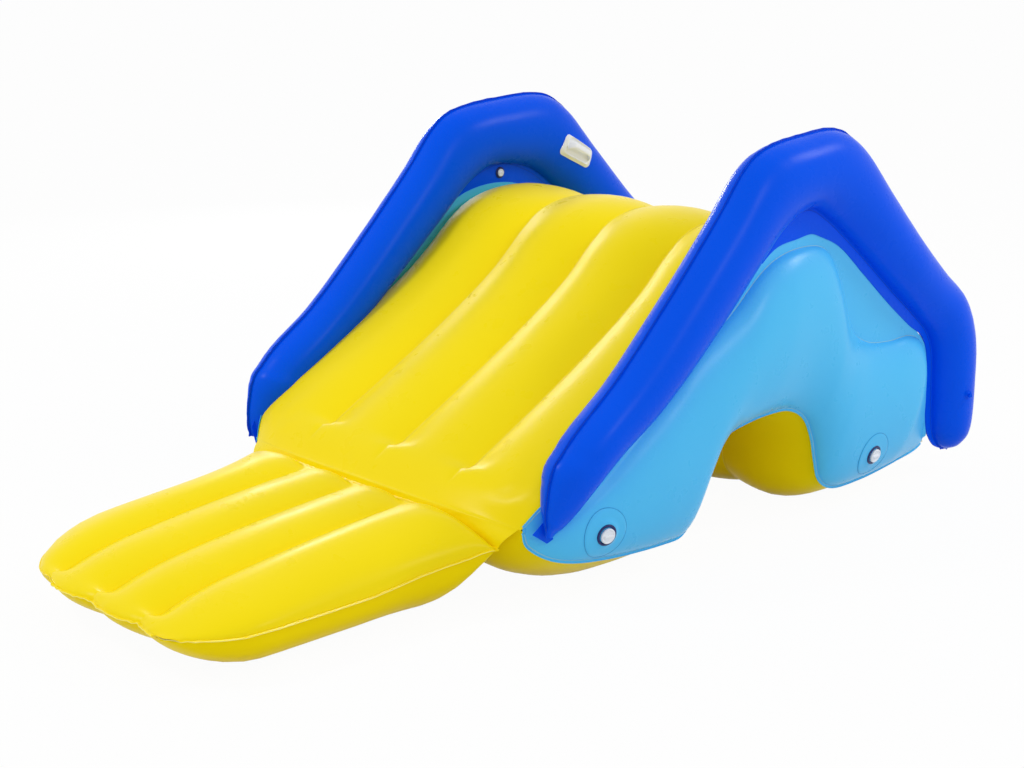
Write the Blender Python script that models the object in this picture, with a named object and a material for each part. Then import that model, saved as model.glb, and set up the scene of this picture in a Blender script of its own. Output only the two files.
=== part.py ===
# Inflatable pool slide: a welded body with an arched underside, two tubular
# side rails and a flat landing mat joined to the toe by a welded strip.
# Metres, +Z up, the mat towards -Y, origin on the floor under the middle.

import math

import bmesh
import bpy
import numpy as np
from mathutils import Matrix, Vector
from mathutils.bvhtree import BVHTree

SIDES = (("left", -1), ("right", 1))

# Sheet and weld sizes
SHEET = 0.002
GAP = 0.0003
WELD_PLANE = 0.543
SHEET_EDGE = WELD_PLANE - SHEET / 2 - GAP
SEAM_LIP = 0.006
TOE_LIP = 0.008
TOE_DRAWN = (0.052, 0.050, -0.019)

# Side profile of the body, front to back: the weld of the slide sheet, the
# weld of the underside and the border of the light side panel.
BODY_TOP = [
    (-0.468, 0.210), (-0.400, 0.250), (-0.290, 0.296), (-0.150, 0.362), (-0.020, 0.430),
    (0.070, 0.482), (0.150, 0.532), (0.225, 0.588), (0.310, 0.660), (0.385, 0.698),
    (0.480, 0.711), (0.565, 0.697), (0.612, 0.640), (0.650, 0.545), (0.696, 0.468),
    (0.770, 0.424), (0.865, 0.411), (0.955, 0.411), (1.010, 0.382), (1.024, 0.300),
    (1.036, 0.200), (1.048, 0.108),
]
BODY_BOTTOM = [
    (-0.468, 0.200), (-0.448, 0.158), (-0.360, 0.113), (-0.200, 0.084), (-0.020, 0.072),
    (0.062, 0.082), (0.104, 0.160), (0.140, 0.232), (0.205, 0.290), (0.290, 0.309),
    (0.380, 0.315), (0.455, 0.308), (0.515, 0.275), (0.550, 0.215), (0.568, 0.150),
    (0.590, 0.094), (0.650, 0.062), (0.760, 0.060), (0.860, 0.068), (0.940, 0.078),
    (1.000, 0.086), (1.040, 0.098),
]
PANEL_BORDER = [
    (-0.474, 0.214), (-0.404, 0.257), (-0.293, 0.303), (-0.153, 0.369), (-0.026, 0.440),
    (0.055, 0.500), (0.130, 0.562), (0.195, 0.620), (0.275, 0.692), (0.360, 0.735),
    (0.470, 0.750), (0.575, 0.734), (0.660, 0.680), (0.735, 0.622), (0.805, 0.566),
    (0.880, 0.506), (0.940, 0.460), (0.990, 0.418), (1.034, 0.370), (1.050, 0.300),
    (1.060, 0.200), (1.064, 0.112),
]

# How far the slide sheet and the underside swell beyond their welds, and how
# deep the channels lie, at the same stations as the profile.
TOP_SWELL = [
    0.0, 0.016, 0.032, 0.042, 0.046, 0.048, 0.050, 0.052, 0.052, 0.050, 0.048,
    0.046, 0.042, 0.038, 0.034, 0.032, 0.032, 0.030, 0.026, 0.024, 0.018, 0.0,
]
TOP_CHANNEL = [
    0.0, 0.004, 0.022, 0.030, 0.032, 0.034, 0.038, 0.042, 0.040, 0.028, 0.018,
    0.018, 0.022, 0.024, 0.022, 0.020, 0.018, 0.014, 0.010, 0.006, 0.002, 0.0,
]
UNDER_SWELL = [
    0.0, 0.030, 0.066, 0.088, 0.076, 0.060, 0.045, 0.040, 0.040, 0.040, 0.040,
    0.040, 0.040, 0.040, 0.045, 0.056, 0.066, 0.064, 0.070, 0.060, 0.036, 0.0,
]
UNDER_CHANNEL = [
    0.0, 0.006, 0.014, 0.018, 0.018, 0.018, 0.018, 0.018, 0.018, 0.018, 0.018,
    0.018, 0.018, 0.018, 0.018, 0.018, 0.018, 0.018, 0.016, 0.012, 0.006, 0.0,
]
BODY_CHANNEL = 0.2576
LOBE_EDGE_TOP = (0.125, 0.5)
LOBE_EDGE_UNDER = (0.19, 1.2)
FLAT_CUT = 0.002
PANEL_SWELL = 0.165
PANEL_SWELL_MOST = 0.058

# Side rail: outer seam, inner weld and the width of the flat flange inside it,
# from the lower front tip over the top to the foot of the rear leg.
RAIL_SEAM = [
    (-0.400, 0.178), (-0.404, 0.240), (-0.386, 0.322), (-0.352, 0.362), (-0.300, 0.408),
    (-0.170, 0.503), (0.000, 0.664), (0.150, 0.818), (0.245, 0.925), (0.325, 0.967),
    (0.454, 0.985), (0.580, 0.988), (0.675, 0.945), (0.790, 0.832), (0.930, 0.696),
    (1.060, 0.584), (1.165, 0.497), (1.219, 0.385), (1.231, 0.240), (1.228, 0.120),
    (1.202, 0.072), (1.166, 0.056),
]
RAIL_WELD = [
    (-0.386, 0.176), (-0.335, 0.208), (-0.262, 0.270), (-0.224, 0.300), (-0.172, 0.338),
    (-0.060, 0.414), (0.110, 0.552), (0.250, 0.680), (0.345, 0.750), (0.425, 0.787),
    (0.498, 0.800), (0.565, 0.768), (0.640, 0.716), (0.740, 0.640), (0.860, 0.545),
    (0.965, 0.465), (1.030, 0.408), (1.062, 0.340), (1.072, 0.225), (1.083, 0.130),
    (1.112, 0.080), (1.154, 0.056),
]
RAIL_FLANGE = [
    0.005, 0.012, 0.016, 0.017, 0.018, 0.018, 0.018, 0.020, 0.030, 0.060, 0.062,
    0.045, 0.028, 0.030, 0.030, 0.028, 0.018, 0.018, 0.022, 0.022, 0.018,
    0.006,
]
RAIL_REARWARD = {
    "left": [0.0] * 10 + [0.020, 0.058, 0.062, 0.060, 0.055, 0.045, 0.020, 0.004] + [0.0] * 4,
    "right": [0.0] * 22,
}
RAIL_PLANE = WELD_PLANE + SHEET / 2 + GAP * 1.5 + SHEET
RAIL_FULLNESS = 0.87
RAIL_HALF_THICK = 0.0712
RAIL_CLEARANCE = 0.013
INNER_START = [0.0, 0.0, 0.0, 0.6, 0.9]

# Landing mat: outline as front corner sizes, across and along, on each side
MAT_FRONT = -1.231
MAT_REAR = -0.490
MAT_HALF_WIDTH = 0.400
MAT_REAR_FLARE = 0.048
MAT_CORNER_RIGHT = (0.14, 0.19)
MAT_CORNER_LEFT = (0.265, 0.28)
MAT_CORNER_ROUND = 1.8
MAT_CHANNEL = 0.1835
MAT_SEAM_Z = 0.100
MAT_REAR_Z = 0.143
MAT_REAR_MIDDLE_Z = 0.186
MAT_EDGE_TOP = (0.17, 0.52)
MAT_EDGE_UNDER = (0.17, 0.85)
MAT_STATIONS = [
    0.0, 0.020, 0.055, 0.105, 0.175, 0.270, 0.380, 0.490, 0.590, 0.655, 0.693, 0.718,
]
HINGE_Y = -0.4775
HINGE_Z = 0.204

# Handles, ports and valves
HANDLE_SPOT = (0.735, 0.822)
HANDLE_HALF = (0.064, 0.029)
HANDLE_CORNER = 0.014
GRIP_HALF = (0.052, 0.0105)
GRIP_RISE = 0.019
PORT_SPOTS = {"front": (-0.2382, 0.1541), "rear": (0.7558, 0.1336)}
PATCH_RADIUS = 0.064
PORT_RING_RADIUS = 0.0325
PORT_CAP_RADIUS = 0.0225
WEB_PORT_SPOT = (0.492, 0.777)
WEB_RING_RADIUS = 0.0165
WEB_CAP_RADIUS = 0.0110
VALVE_SPOT = (1.146, 0.227)


def clear_scene():
    for item in list(bpy.data.objects):
        bpy.data.objects.remove(item, do_unlink=True)


def material(name, colour, roughness, metallic=0.0):
    made = bpy.data.materials.new(name)
    made.use_nodes = True
    shader = made.node_tree.nodes["Principled BSDF"]
    shader.inputs["Base Color"].default_value = (*colour, 1.0)
    shader.inputs["Roughness"].default_value = roughness
    shader.inputs["Metallic"].default_value = metallic
    made.diffuse_color = (*colour, 1.0)
    return made


def add_object(name, points, faces, finish, origin=(0.0, 0.0, 0.0)):
    mesh = bpy.data.meshes.new(name)
    offset = Vector(origin)
    mesh.from_pydata([tuple(Vector(p) - offset) for p in points], [], faces)
    mesh.validate()
    mesh.materials.append(finish)
    mesh.shade_smooth()
    mesh.set_sharp_from_angle(angle=math.radians(40))
    made = bpy.data.objects.new(name, mesh)
    made.location = offset
    bpy.context.collection.objects.link(made)
    return made


def smooth_curve(points, per_span):
    """Points on a smooth curve through the given ones, per_span steps a span."""
    given = np.array(points, dtype=float)
    if given.ndim == 1:
        given = given[:, None]
    padded = np.vstack([2 * given[0] - given[1], given, 2 * given[-1] - given[-2]])
    out = []
    for i in range(1, len(padded) - 2):
        before, start, end, after = padded[i - 1:i + 3]
        for step in range(per_span):
            t = step / per_span
            out.append(0.5 * (
                2 * start + (end - before) * t
                + (2 * before - 5 * start + 4 * end - after) * t ** 2
                + (3 * start - before - 3 * end + after) * t ** 3
            ))
    out.append(given[-1])
    return np.array(out)


def path_normals(path, side):
    """Unit normals of an open path in the YZ plane, on the given side."""
    along = np.gradient(path, axis=0)
    along /= np.linalg.norm(along, axis=1)[:, None]
    return np.stack([-along[:, 1], along[:, 0]], axis=1) * side


def drawn_in(points, weight=1.0):
    """Pull the corners of the toe inwards and back, as air pressure does."""
    out = np.array(points, dtype=float)
    near_toe = ((-0.26 - out[..., 1]) / 0.21).clip(0, 1.1) ** 2
    pull = near_toe * (np.abs(out[..., 0]) / WELD_PLANE) ** 3 * weight
    out[..., 0] -= np.sign(out[..., 0]) * pull * TOE_DRAWN[0]
    out[..., 1] += pull * TOE_DRAWN[1]
    out[..., 2] += pull * TOE_DRAWN[2] * (out[..., 2] / 0.2).clip(0, 1)
    return out


def body_shell(name, outer, inner, finish):
    return grid_shell(name, drawn_in(outer), drawn_in(inner), finish)


def grid_shell(name, outer, inner, finish, origin=(0.0, 0.0, 0.0)):
    """A sheet between two equal grids of points, closed round its rim."""
    rows, columns = outer.shape[:2]
    points = np.concatenate([outer.reshape(-1, 3), inner.reshape(-1, 3)])
    half = rows * columns

    def index(row, column):
        return row * columns + column

    faces = []
    for row in range(rows - 1):
        for column in range(columns - 1):
            low, high = index(row, column), index(row + 1, column)
            for corners in ((low, low + 1, high + 1), (low, high + 1, high)):
                faces.append(corners)
                faces.append(tuple(half + corner for corner in reversed(corners)))
    rim = [index(0, c) for c in range(columns)]
    rim += [index(r, columns - 1) for r in range(1, rows)]
    rim += [index(rows - 1, c) for c in range(columns - 2, -1, -1)]
    rim += [index(r, 0) for r in range(rows - 2, 0, -1)]
    for here, after in zip(rim, rim[1:] + rim[:1]):
        faces.append((after, here, half + here, half + after))
    made = add_object(name, points, faces, finish, origin)
    face_outwards(made)
    return made


def face_outwards(thing):
    """Turn a closed mesh the right way out by the sign of its volume."""
    mesh = thing.data
    mesh.calc_loop_triangles()
    volume = 0.0
    for triangle in mesh.loop_triangles:
        a, b, c = (mesh.vertices[i].co for i in triangle.vertices)
        volume += a.dot(b.cross(c))
    if volume < 0:
        mesh.flip_normals()


def mirrored(points):
    flipped = np.array(points)
    flipped[..., 0] *= -1
    return flipped


def lip_path(top_end, bottom_end, direction, side, extra=0.0):
    """Two stations of the flat weld lip where two sheets meet, outer face."""
    middle = (np.array(top_end) + np.array(bottom_end)) / 2
    along = np.array(direction) / np.linalg.norm(direction)
    across = np.array([-along[1], along[0]])
    if np.dot(across, np.array(top_end) - middle) < 0:
        across = -across
    step = across * side * (GAP / 2 + SHEET + extra)
    return [middle + along * TOE_LIP + step, middle + along * 0.006 + step], across * side


# Body

def edge_round(x, upper):
    """From 0 at the side weld to 1 where the outer lobe is full."""
    reach, power = LOBE_EDGE_TOP if upper else LOBE_EDGE_UNDER
    inset = min(1.0, max(0.0, (SHEET_EDGE - abs(x)) / reach))
    return (1 - (1 - inset) ** 2) ** power


def channel_dip(x, pitch):
    """1 on a channel weld, falling to 0 on the crest of a lobe."""
    nearest = min(abs(abs(x) - pitch), abs(x))
    return 1 - math.sin(math.pi * min(0.5, nearest / pitch)) ** 0.8


def body_rows(upper):
    if upper:
        right = [BODY_CHANNEL * f for f in (0.0, 0.17, 0.5, 0.83, 1.0)]
        right += [0.310, 0.405, 0.475, 0.520, SHEET_EDGE]
    else:
        right = [BODY_CHANNEL * f for f in (0.0, 0.3, 0.7, 1.0)]
        right += [0.345, 0.405, 0.455, 0.510, SHEET_EDGE]
    return [-x for x in reversed(right[1:])] + right


def wrap_sheet(name, path, swell, channel, side, lips, finish, per_span):
    """A sheet swept across the body, swollen into lobes between the channels."""
    line = smooth_curve(path, per_span)
    normals = path_normals(line, side)
    crest = smooth_curve(swell, per_span)[:, 0].clip(0)
    dip = smooth_curve(channel, per_span)[:, 0].clip(0)
    (front, front_normal), (rear, rear_normal) = lips
    stations = list(front) + list(line) + list(reversed(rear))
    directions = [front_normal] * 2 + list(normals) + [rear_normal] * 2
    crest = [0, 0] + list(crest) + [0, 0]
    dip = [0, 0] + list(dip) + [0, 0]
    outer, inner = [], []
    for x in body_rows(side > 0):
        outer_row, inner_row = [], []
        full = edge_round(x, side > 0)
        for spot, normal, high, low in zip(stations, directions, crest, dip):
            swell_here = (high - low * channel_dip(x, BODY_CHANNEL)) * full
            face = np.array(spot) + np.array(normal) * swell_here
            back = face - np.array(normal) * SHEET
            if face[1] < FLAT_CUT and side < 0:
                face[1] = 0.0
                back[1] = SHEET
            outer_row.append((x, face[0], face[1]))
            inner_row.append((x, back[0], back[1]))
        outer.append(outer_row)
        inner.append(inner_row)
    outer, inner = np.array(outer), np.array(inner)
    for face in (outer, inner):
        face[..., 0] *= 1 - 0.0035 * ((-0.24 - face[..., 1]) / 0.20).clip(0, 1)
    return body_shell(name, outer, inner, finish)


def body_lips():
    toe = (BODY_TOP[0], BODY_BOTTOM[0], (-1.0, 0.0))
    heel = (BODY_TOP[-1], BODY_BOTTOM[-1], (0.78, -0.62))
    top = [lip_path(*end, 1) for end in (toe, heel)]
    bottom = [lip_path(*toe, -1, 0.0012), lip_path(*heel, -1)]
    return top, bottom


def panel_height(top, bottom, share):
    """Swelling of a side panel at a share of the way from top to bottom weld."""
    width = np.linalg.norm(np.array(top) - np.array(bottom))
    most = min(PANEL_SWELL * width, PANEL_SWELL_MOST)
    return most * (4 * share * (1 - share)) ** 0.62


def covered_share(top, bottom):
    """Share of a rung that lies flat under the lower end of the rail."""
    weld = np.array(RAIL_WELD[:9])
    share = 0.10 if top[0] < 0.16 else 0.0
    while share < 0.88:
        y, z = np.array(top) + (np.array(bottom) - np.array(top)) * share
        if z < np.interp(y, weld[:, 0], weld[:, 1]) - 0.038:
            return share
        share += 0.01
    return share


def beyond_border(spot, line):
    """Distance of a point in the YZ plane outside the border of the side panel."""
    start, end = line[:-1], line[1:]
    run = end - start
    share = ((spot - start) * run).sum(axis=1) / (run ** 2).sum(axis=1)
    nearest = start + run * share.clip(0, 1)[:, None]
    away = spot - nearest
    far = np.linalg.norm(away, axis=1)
    k = int(far.argmin())
    side = run[k, 0] * away[k, 1] - run[k, 1] * away[k, 0]
    return float(far[k]) if side > 0 else -float(far[k])


def side_panel(name, sign, finish, per_span):
    top = smooth_curve(BODY_TOP, per_span)
    bottom = smooth_curve(BODY_BOTTOM, per_span)
    border = smooth_curve(PANEL_BORDER, per_span)
    lip = bottom + path_normals(bottom, -1) * SEAM_LIP * 0.8
    shares = [0.0, 0.06, 0.20, 0.42, 0.66, 0.86, 0.96, 1.0]
    rows = [[(0.0, *spot) for spot in border]]
    for share in shares:
        row = []
        for high, low in zip(top, bottom):
            flat = covered_share(high, low)
            here = share
            if flat > 0.01:
                here = flat * min(1, share / 0.2) + (1 - flat) * max(0, share - 0.2) / 0.8
            rise = 0.0
            if here > flat:
                rise = panel_height(high, low, (here - flat) / (1 - flat)) * (1 - flat)
            spot = high + (low - high) * here
            row.append((rise, *spot))
        rows.append(row)
    rows.append([(0.0, *spot) for spot in lip])
    face = np.array(rows)
    outer, inner = face.copy(), face.copy()
    outer[..., 0] += WELD_PLANE + SHEET / 2
    inner[..., 0] += WELD_PLANE - SHEET / 2
    if sign < 0:
        outer, inner = mirrored(outer), mirrored(inner)
    return body_shell(name, outer, inner, finish)


def valley_line(path, swell, channel, side, per_span, inset):
    """Inner face of a sheet along a channel weld, drawn in by the given inset."""
    line = smooth_curve(path, per_span)
    normals = path_normals(line, side)
    rise = smooth_curve(swell, per_span)[:, 0].clip(0) - smooth_curve(channel, per_span)[:, 0].clip(0)
    return line + normals * (rise - inset)[:, None]


def body_baffle(name, x, finish):
    """Inner web that ties the slide sheet to the underside along a channel."""
    first, last = 2, 19
    inset = SHEET + GAP + 0.0006
    top = valley_line(BODY_TOP, TOP_SWELL, TOP_CHANNEL, 1, 1, inset)[first:last]
    bottom = valley_line(BODY_BOTTOM, UNDER_SWELL, UNDER_CHANNEL, -1, 1, inset)[first:last]
    bottom[:, 1] = np.maximum(bottom[:, 1], SHEET + GAP + 0.0006)
    grids = []
    for offset in (SHEET / 2, -SHEET / 2):
        grids.append(np.array([[(x + offset, *spot) for spot in line] for line in (top, bottom)]))
    return body_shell(name, grids[0], grids[1], finish)


# Rails

def rail_sections(side, per_span):
    seam, weld = np.array(RAIL_SEAM), np.array(RAIL_WELD)
    seam[:, 0] += RAIL_REARWARD[side]
    weld[:, 0] += np.array(RAIL_REARWARD[side]) * 0.75
    seam = smooth_curve(seam, per_span)
    weld = smooth_curve(weld, per_span)
    flange = smooth_curve(RAIL_FLANGE, per_span)[:, 0]
    inward = weld - seam
    width = np.linalg.norm(inward, axis=1)
    inward /= width[:, None]
    outward = path_normals(seam, 1)
    return seam, weld, flange, inward, width, outward


def free_width(start, direction, width, border):
    """How far the inner half of the tube runs before it lies on the panel."""
    free = 0.0
    while free < width * 0.96 and beyond_border(start + direction * free, border) > RAIL_CLEARANCE:
        free += 0.002
    return min(free, width * 0.96)


def clear_depth(obstacle, sign, spot):
    """Depth inwards from the weld plane, round a point, before the slide sheet."""
    least = 1.0
    for dy, dz in ((0, 0), (0.012, 0), (-0.012, 0), (0, -0.012), (0.009, -0.009), (-0.009, -0.009)):
        start = Vector((sign * (WELD_PLANE - 0.003), spot[0] + dy, spot[1] + dz))
        hit = obstacle.ray_cast(start, Vector((-sign, 0, 0)), 0.2)
        if hit[0] is not None:
            least = min(least, hit[3])
    return max(0.0, least - 0.010)


def rail_sheet(side, sign, outside, finish, per_span, obstacle=None):
    """Half of a rail tube, with its seam lip and its flat inner flange."""
    seam, weld, flange, inward, width, outward = rail_sections(side, per_span)
    bulge = width * 0.96
    if not outside:
        border = smooth_curve(PANEL_BORDER, 3)
        bulge = [free_width(s, d, w, border) for s, d, w in zip(seam, inward, width)]
    share = smooth_curve(INNER_START + [1.0] * (len(RAIL_SEAM) - 5), per_span)[:, 0].clip(0, 1)
    rows = [[(GAP / 2, *(s + o * SEAM_LIP)) for s, o in zip(seam, outward)]]
    shares = [[0.0] * len(seam)]
    for k in range(7):
        turn = math.pi * k / 6
        row = []
        shares.append([b * (1 - math.cos(turn)) / 2 / w for b, w in zip(bulge, width)])
        for i in range(len(seam)):
            least = 0.004 * k / 6
            across = max(bulge[i], least) * (1 - math.cos(turn)) / 2
            spot = seam[i] + inward[i] * max(across, least)
            thick = min(RAIL_FULLNESS * width[i] / 2, RAIL_HALF_THICK)
            if not outside:
                thick = min(thick, 0.9 * bulge[i]) * share[i]
            rise = thick * math.sin(turn)
            if obstacle is not None and rise > 0.001:
                rise = min(rise, clear_depth(obstacle, sign, spot))
            row.append((rise + GAP / 2, *spot))
        rows.append(row)
    rows.append([(GAP / 2, *w) for w in weld])
    rows.append([(GAP / 2, *(w + d * f)) for w, d, f in zip(weld, inward, flange)])
    shares += [[1.0] * len(seam)] * 2
    face = np.array(rows)
    back = face.copy()
    face[..., 0] += SHEET
    if not outside:
        face[..., 0] *= -1
        back[..., 0] *= -1
    face[..., 0] += RAIL_PLANE
    back[..., 0] += RAIL_PLANE
    for grid in (face, back):
        grid[..., 0] += (0.0052 if outside else 0.002) * ((-0.21 - grid[..., 1]) / 0.08).clip(0, 1)
    face, back = drawn_in(face, shares), drawn_in(back, shares)
    if sign < 0:
        face, back = mirrored(face), mirrored(back)
    name = "rail_%s_%s" % (side, "outer" if outside else "inner")
    return grid_shell(name, face, back, finish)


# Landing mat

def mat_side(y, corner):
    """Distance of the mat's side seam from its middle at a station."""
    flare = max(0.0, (y + 0.72) / (MAT_REAR + 0.72)) ** 2
    width = MAT_HALF_WIDTH + MAT_REAR_FLARE * flare
    front = y - MAT_FRONT
    if front < corner[1]:
        fall = (1 - front / corner[1]) ** MAT_CORNER_ROUND
        width -= corner[0] * (1 - max(0.0, 1 - fall) ** (1 / MAT_CORNER_ROUND))
    return width


def ease(value):
    t = min(1.0, max(0.0, value))
    return t * t * (3 - 2 * t)


def mat_rear_z(x):
    """Level of the mat's rear seam, which falls towards both corners."""
    return MAT_REAR_MIDDLE_Z - (MAT_REAR_MIDDLE_Z - MAT_REAR_Z) * ease((abs(x) - 0.25) / 0.2)


def mat_seam_z(x, y):
    rise = max(0.0, (y + 0.78) / (MAT_REAR + 0.78))
    level = MAT_SEAM_Z + (MAT_REAR_Z - MAT_SEAM_Z) * rise ** 2
    return level + (mat_rear_z(x) - level) * ease(1 - (MAT_REAR - y) / 0.06)


def mat_crest(y, upper):
    if upper:
        return 0.2035 + 0.058 * (y + 0.54) - 0.085 * (y + 0.54) ** 2
    return 0.0


def mat_height(x, y, left, right, upper):
    """Height of the mat's upper or lower face over the seam's level."""
    front = min(1.0, (y - MAT_FRONT) / (0.20 if upper else 0.13))
    rear = min(1.0, (MAT_REAR - y) / 0.060)
    ends = math.sqrt(max(0.0, 1 - (1 - front) ** 2)) * math.sqrt(max(0.0, 1 - (1 - rear) ** 2))
    reach, power = MAT_EDGE_TOP if upper else MAT_EDGE_UNDER
    inset = min(1.0, (right - x) / reach, (x - left) / reach)
    sides = max(0.0, 1 - (1 - inset) ** 2) ** power
    seam = mat_seam_z(x, y) + (GAP / 2 + SHEET) * (1 if upper else -1)
    depth = (0.024 if upper else 0.020) * channel_dip(x, MAT_CHANNEL)
    full = mat_crest(y, upper) - seam
    if upper:
        return seam + (full - depth) * sides * ends
    level = seam + (full + depth) * sides * ends
    return 0.0 if level < 2 * FLAT_CUT else level


def mat_columns(left, right):
    """Columns of the mat's grid between its side seams, closer at the channels."""
    half = (0.18, 0.5, 0.82, 1.0)
    edge = (0.15, 0.38, 0.66, 0.88, 1.0)
    low, high = max(left + 0.02, -MAT_CHANNEL), min(right - 0.02, MAT_CHANNEL)
    columns = [low * f for f in reversed(half)] + [0.0] + [high * f for f in half]
    before = [low + (left - low) * f for f in reversed(edge)]
    after = [high + (right - high) * f for f in edge]
    return before + columns + after


def mat_sheet(name, upper, finish):
    outer = []
    for y in [MAT_FRONT + s for s in MAT_STATIONS] + [MAT_REAR]:
        left, right = -mat_side(y, MAT_CORNER_LEFT), mat_side(y, MAT_CORNER_RIGHT)
        row = [(x, y, mat_height(x, y, left, right, upper)) for x in mat_columns(left, right)]
        outer.append([(left - SEAM_LIP, y, row[0][2])] + row + [(right + SEAM_LIP, y, row[-1][2])])
    outer = np.array(outer)
    front, rear = outer[:1].copy(), outer[-1:].copy()
    front[..., 1] -= SEAM_LIP
    rear[..., 1] += 0.006
    outer = np.concatenate([front, outer, rear])
    inner = outer.copy()
    inner[..., 2] += -SHEET if upper else SHEET
    return grid_shell(name, outer, inner, finish, (0.0, HINGE_Y, HINGE_Z))


def mat_baffle(name, x, finish):
    """Web between the mat's two sheets along a channel weld."""
    rows = [[], []]
    for offset in MAT_STATIONS[3:-1]:
        y = MAT_FRONT + offset
        left, right = -mat_side(y, MAT_CORNER_LEFT), mat_side(y, MAT_CORNER_RIGHT)
        rows[0].append((y, mat_height(x, y, left, right, True) - SHEET - 0.0014))
        rows[1].append((y, mat_height(x, y, left, right, False) + SHEET + 0.0014))
    grids = []
    for side in (SHEET / 2, -SHEET / 2):
        grids.append(np.array([[(x + side, *spot) for spot in row] for row in rows]))
    return grid_shell(name, grids[0], grids[1], finish, (0.0, HINGE_Y, HINGE_Z))


def hinge_strip(finish):
    """Flat welded strip from the toe of the body down to the mat."""
    half = SHEET / 2
    rows = [[], []]
    steps = np.array([0.0, 0.16, 0.4, 0.7, 1.0])
    for share in np.linspace(-1, 1, 13):
        width = np.array([0.40, 0.405, 0.41, 0.425, 0.44])
        drop = HINGE_Z - mat_rear_z(share * 0.44) + 0.003
        forward = np.array([0.0, 0.0025, 0.0043, 0.0047, 0.0047])
        line = np.stack([HINGE_Y - forward, HINGE_Z - drop * steps], axis=1)
        normals = path_normals(line, 1)
        back = np.array([0.022, 0.018, 0.012, 0.004, 0.0]) * abs(share) ** 3
        spots = [(share * w, *(p + (b, 0))) for p, w, b in zip(line, width, back)]
        rows[0].append([(x, y + n[0] * half, z + n[1] * half) for (x, y, z), n in zip(spots, normals)])
        rows[1].append([(x, y - n[0] * half, z - n[1] * half) for (x, y, z), n in zip(spots, normals)])
    return grid_shell("mat_hinge_strip", np.array(rows[0]), np.array(rows[1]), finish,
                      (0.0, HINGE_Y, HINGE_Z))


# Handles, ports and valves

def surface_tree(thing):
    bpy.context.view_layer.update()
    return BVHTree.FromObject(thing, bpy.context.evaluated_depsgraph_get())


def turned(name, profile, sides, finish, frame):
    """A solid turned about the frame's Z from (radius, height) points, closed."""
    points, faces = [], []
    count = len(profile)
    for k in range(sides):
        turn = 2 * math.pi * k / sides
        for radius, height in profile:
            points.append(frame @ Vector((radius * math.cos(turn), radius * math.sin(turn), height)))
    for k in range(sides):
        after = (k + 1) % sides
        for i in range(count):
            j = (i + 1) % count
            faces.append((k * count + i, after * count + i, after * count + j, k * count + j))
    made = add_object(name, points, faces, finish, frame.translation)
    weld_axis(made)
    face_outwards(made)
    return made


def weld_axis(thing):
    """Merge the points of a turned solid that lie together on its axis."""
    shape = bmesh.new()
    shape.from_mesh(thing.data)
    bmesh.ops.remove_doubles(shape, verts=shape.verts, dist=0.00001)
    bmesh.ops.dissolve_degenerate(shape, edges=shape.edges, dist=0.00001)
    shape.to_mesh(thing.data)
    shape.free()


def seat_frame(tree, sign, spot, reach, clear=GAP):
    """Frame on a skin, Z out along its normal, lifted clear of it within reach."""
    start = Vector((sign * 0.9, *spot))
    hit, normal = tree.ray_cast(start, Vector((-sign, 0, 0)))[:2]
    across = Vector((0, 0, 1)).cross(normal).normalized()
    upward = normal.cross(across)
    axes = Matrix((across, upward, normal)).transposed().to_4x4()
    lift = 0.0
    for k in range(24):
        turn = 2 * math.pi * k / 24
        for radius in (reach / 2, reach):
            aside = (across * math.cos(turn) + upward * math.sin(turn)) * radius
            near = tree.ray_cast(hit + aside + normal * 0.1, -normal, 0.2)[0]
            if near is not None:
                lift = max(lift, (near - hit).dot(normal))
    return Matrix.Translation(hit + normal * (lift + clear)) @ axes


def seat_frame_inside(tree, sign, spot, reach):
    """As seat_frame, on the face that looks towards the slide lane."""
    start = Vector((sign * 0.3, *spot))
    hit, normal = tree.ray_cast(start, Vector((sign, 0, 0)))[:2]
    across = Vector((0, 0, 1)).cross(normal).normalized()
    upward = normal.cross(across)
    axes = Matrix((across, upward, normal)).transposed().to_4x4()
    return Matrix.Translation(hit + normal * GAP) @ axes


def port_patch(name, tree, frame, finish):
    """Round welded patch: flat under the port, following the skin at its rim."""
    rings = [0.0105, 0.036, 0.046, 0.056, PATCH_RADIUS]
    turns = 20
    down = -(frame.to_3x3() @ Vector((0, 0, 1)))
    top, under = [], []
    for radius in rings:
        flat = 1 - min(1.0, max(0.0, (radius - 0.036) / 0.022))
        top_row, under_row = [], []
        for k in range(turns):
            turn = 2 * math.pi * k / turns
            plane = frame @ Vector((radius * math.cos(turn), radius * math.sin(turn), 0))
            skin = tree.ray_cast(plane - down * 0.05, down, 0.2)[0]
            depth = (skin - plane).dot(down) - 0.0024
            under_row.append(plane + down * depth)
            rim = depth - 0.0012
            top_row.append(plane + down * (rim * (1 - flat) - 0.0012 * flat))
        top.append(top_row)
        under.append(under_row)
    points = [q for row in top + under for q in row]
    faces = []
    count = len(rings)
    for side, flip in ((0, False), (count, True)):
        for i in range(count - 1):
            for k in range(turns):
                j = (k + 1) % turns
                quad = [(side + i) * turns + k, (side + i + 1) * turns + k,
                        (side + i + 1) * turns + j, (side + i) * turns + j]
                faces.append(tuple(reversed(quad)) if flip else tuple(quad))
    for k in range(turns):
        j = (k + 1) % turns
        faces.append(((count - 1) * turns + k, (2 * count - 1) * turns + k,
                      (2 * count - 1) * turns + j, (count - 1) * turns + j))
        faces.append((k, j, count * turns + j, count * turns + k))
    made = add_object(name, points, faces, finish, frame.translation)
    face_outwards(made)
    return made


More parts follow.
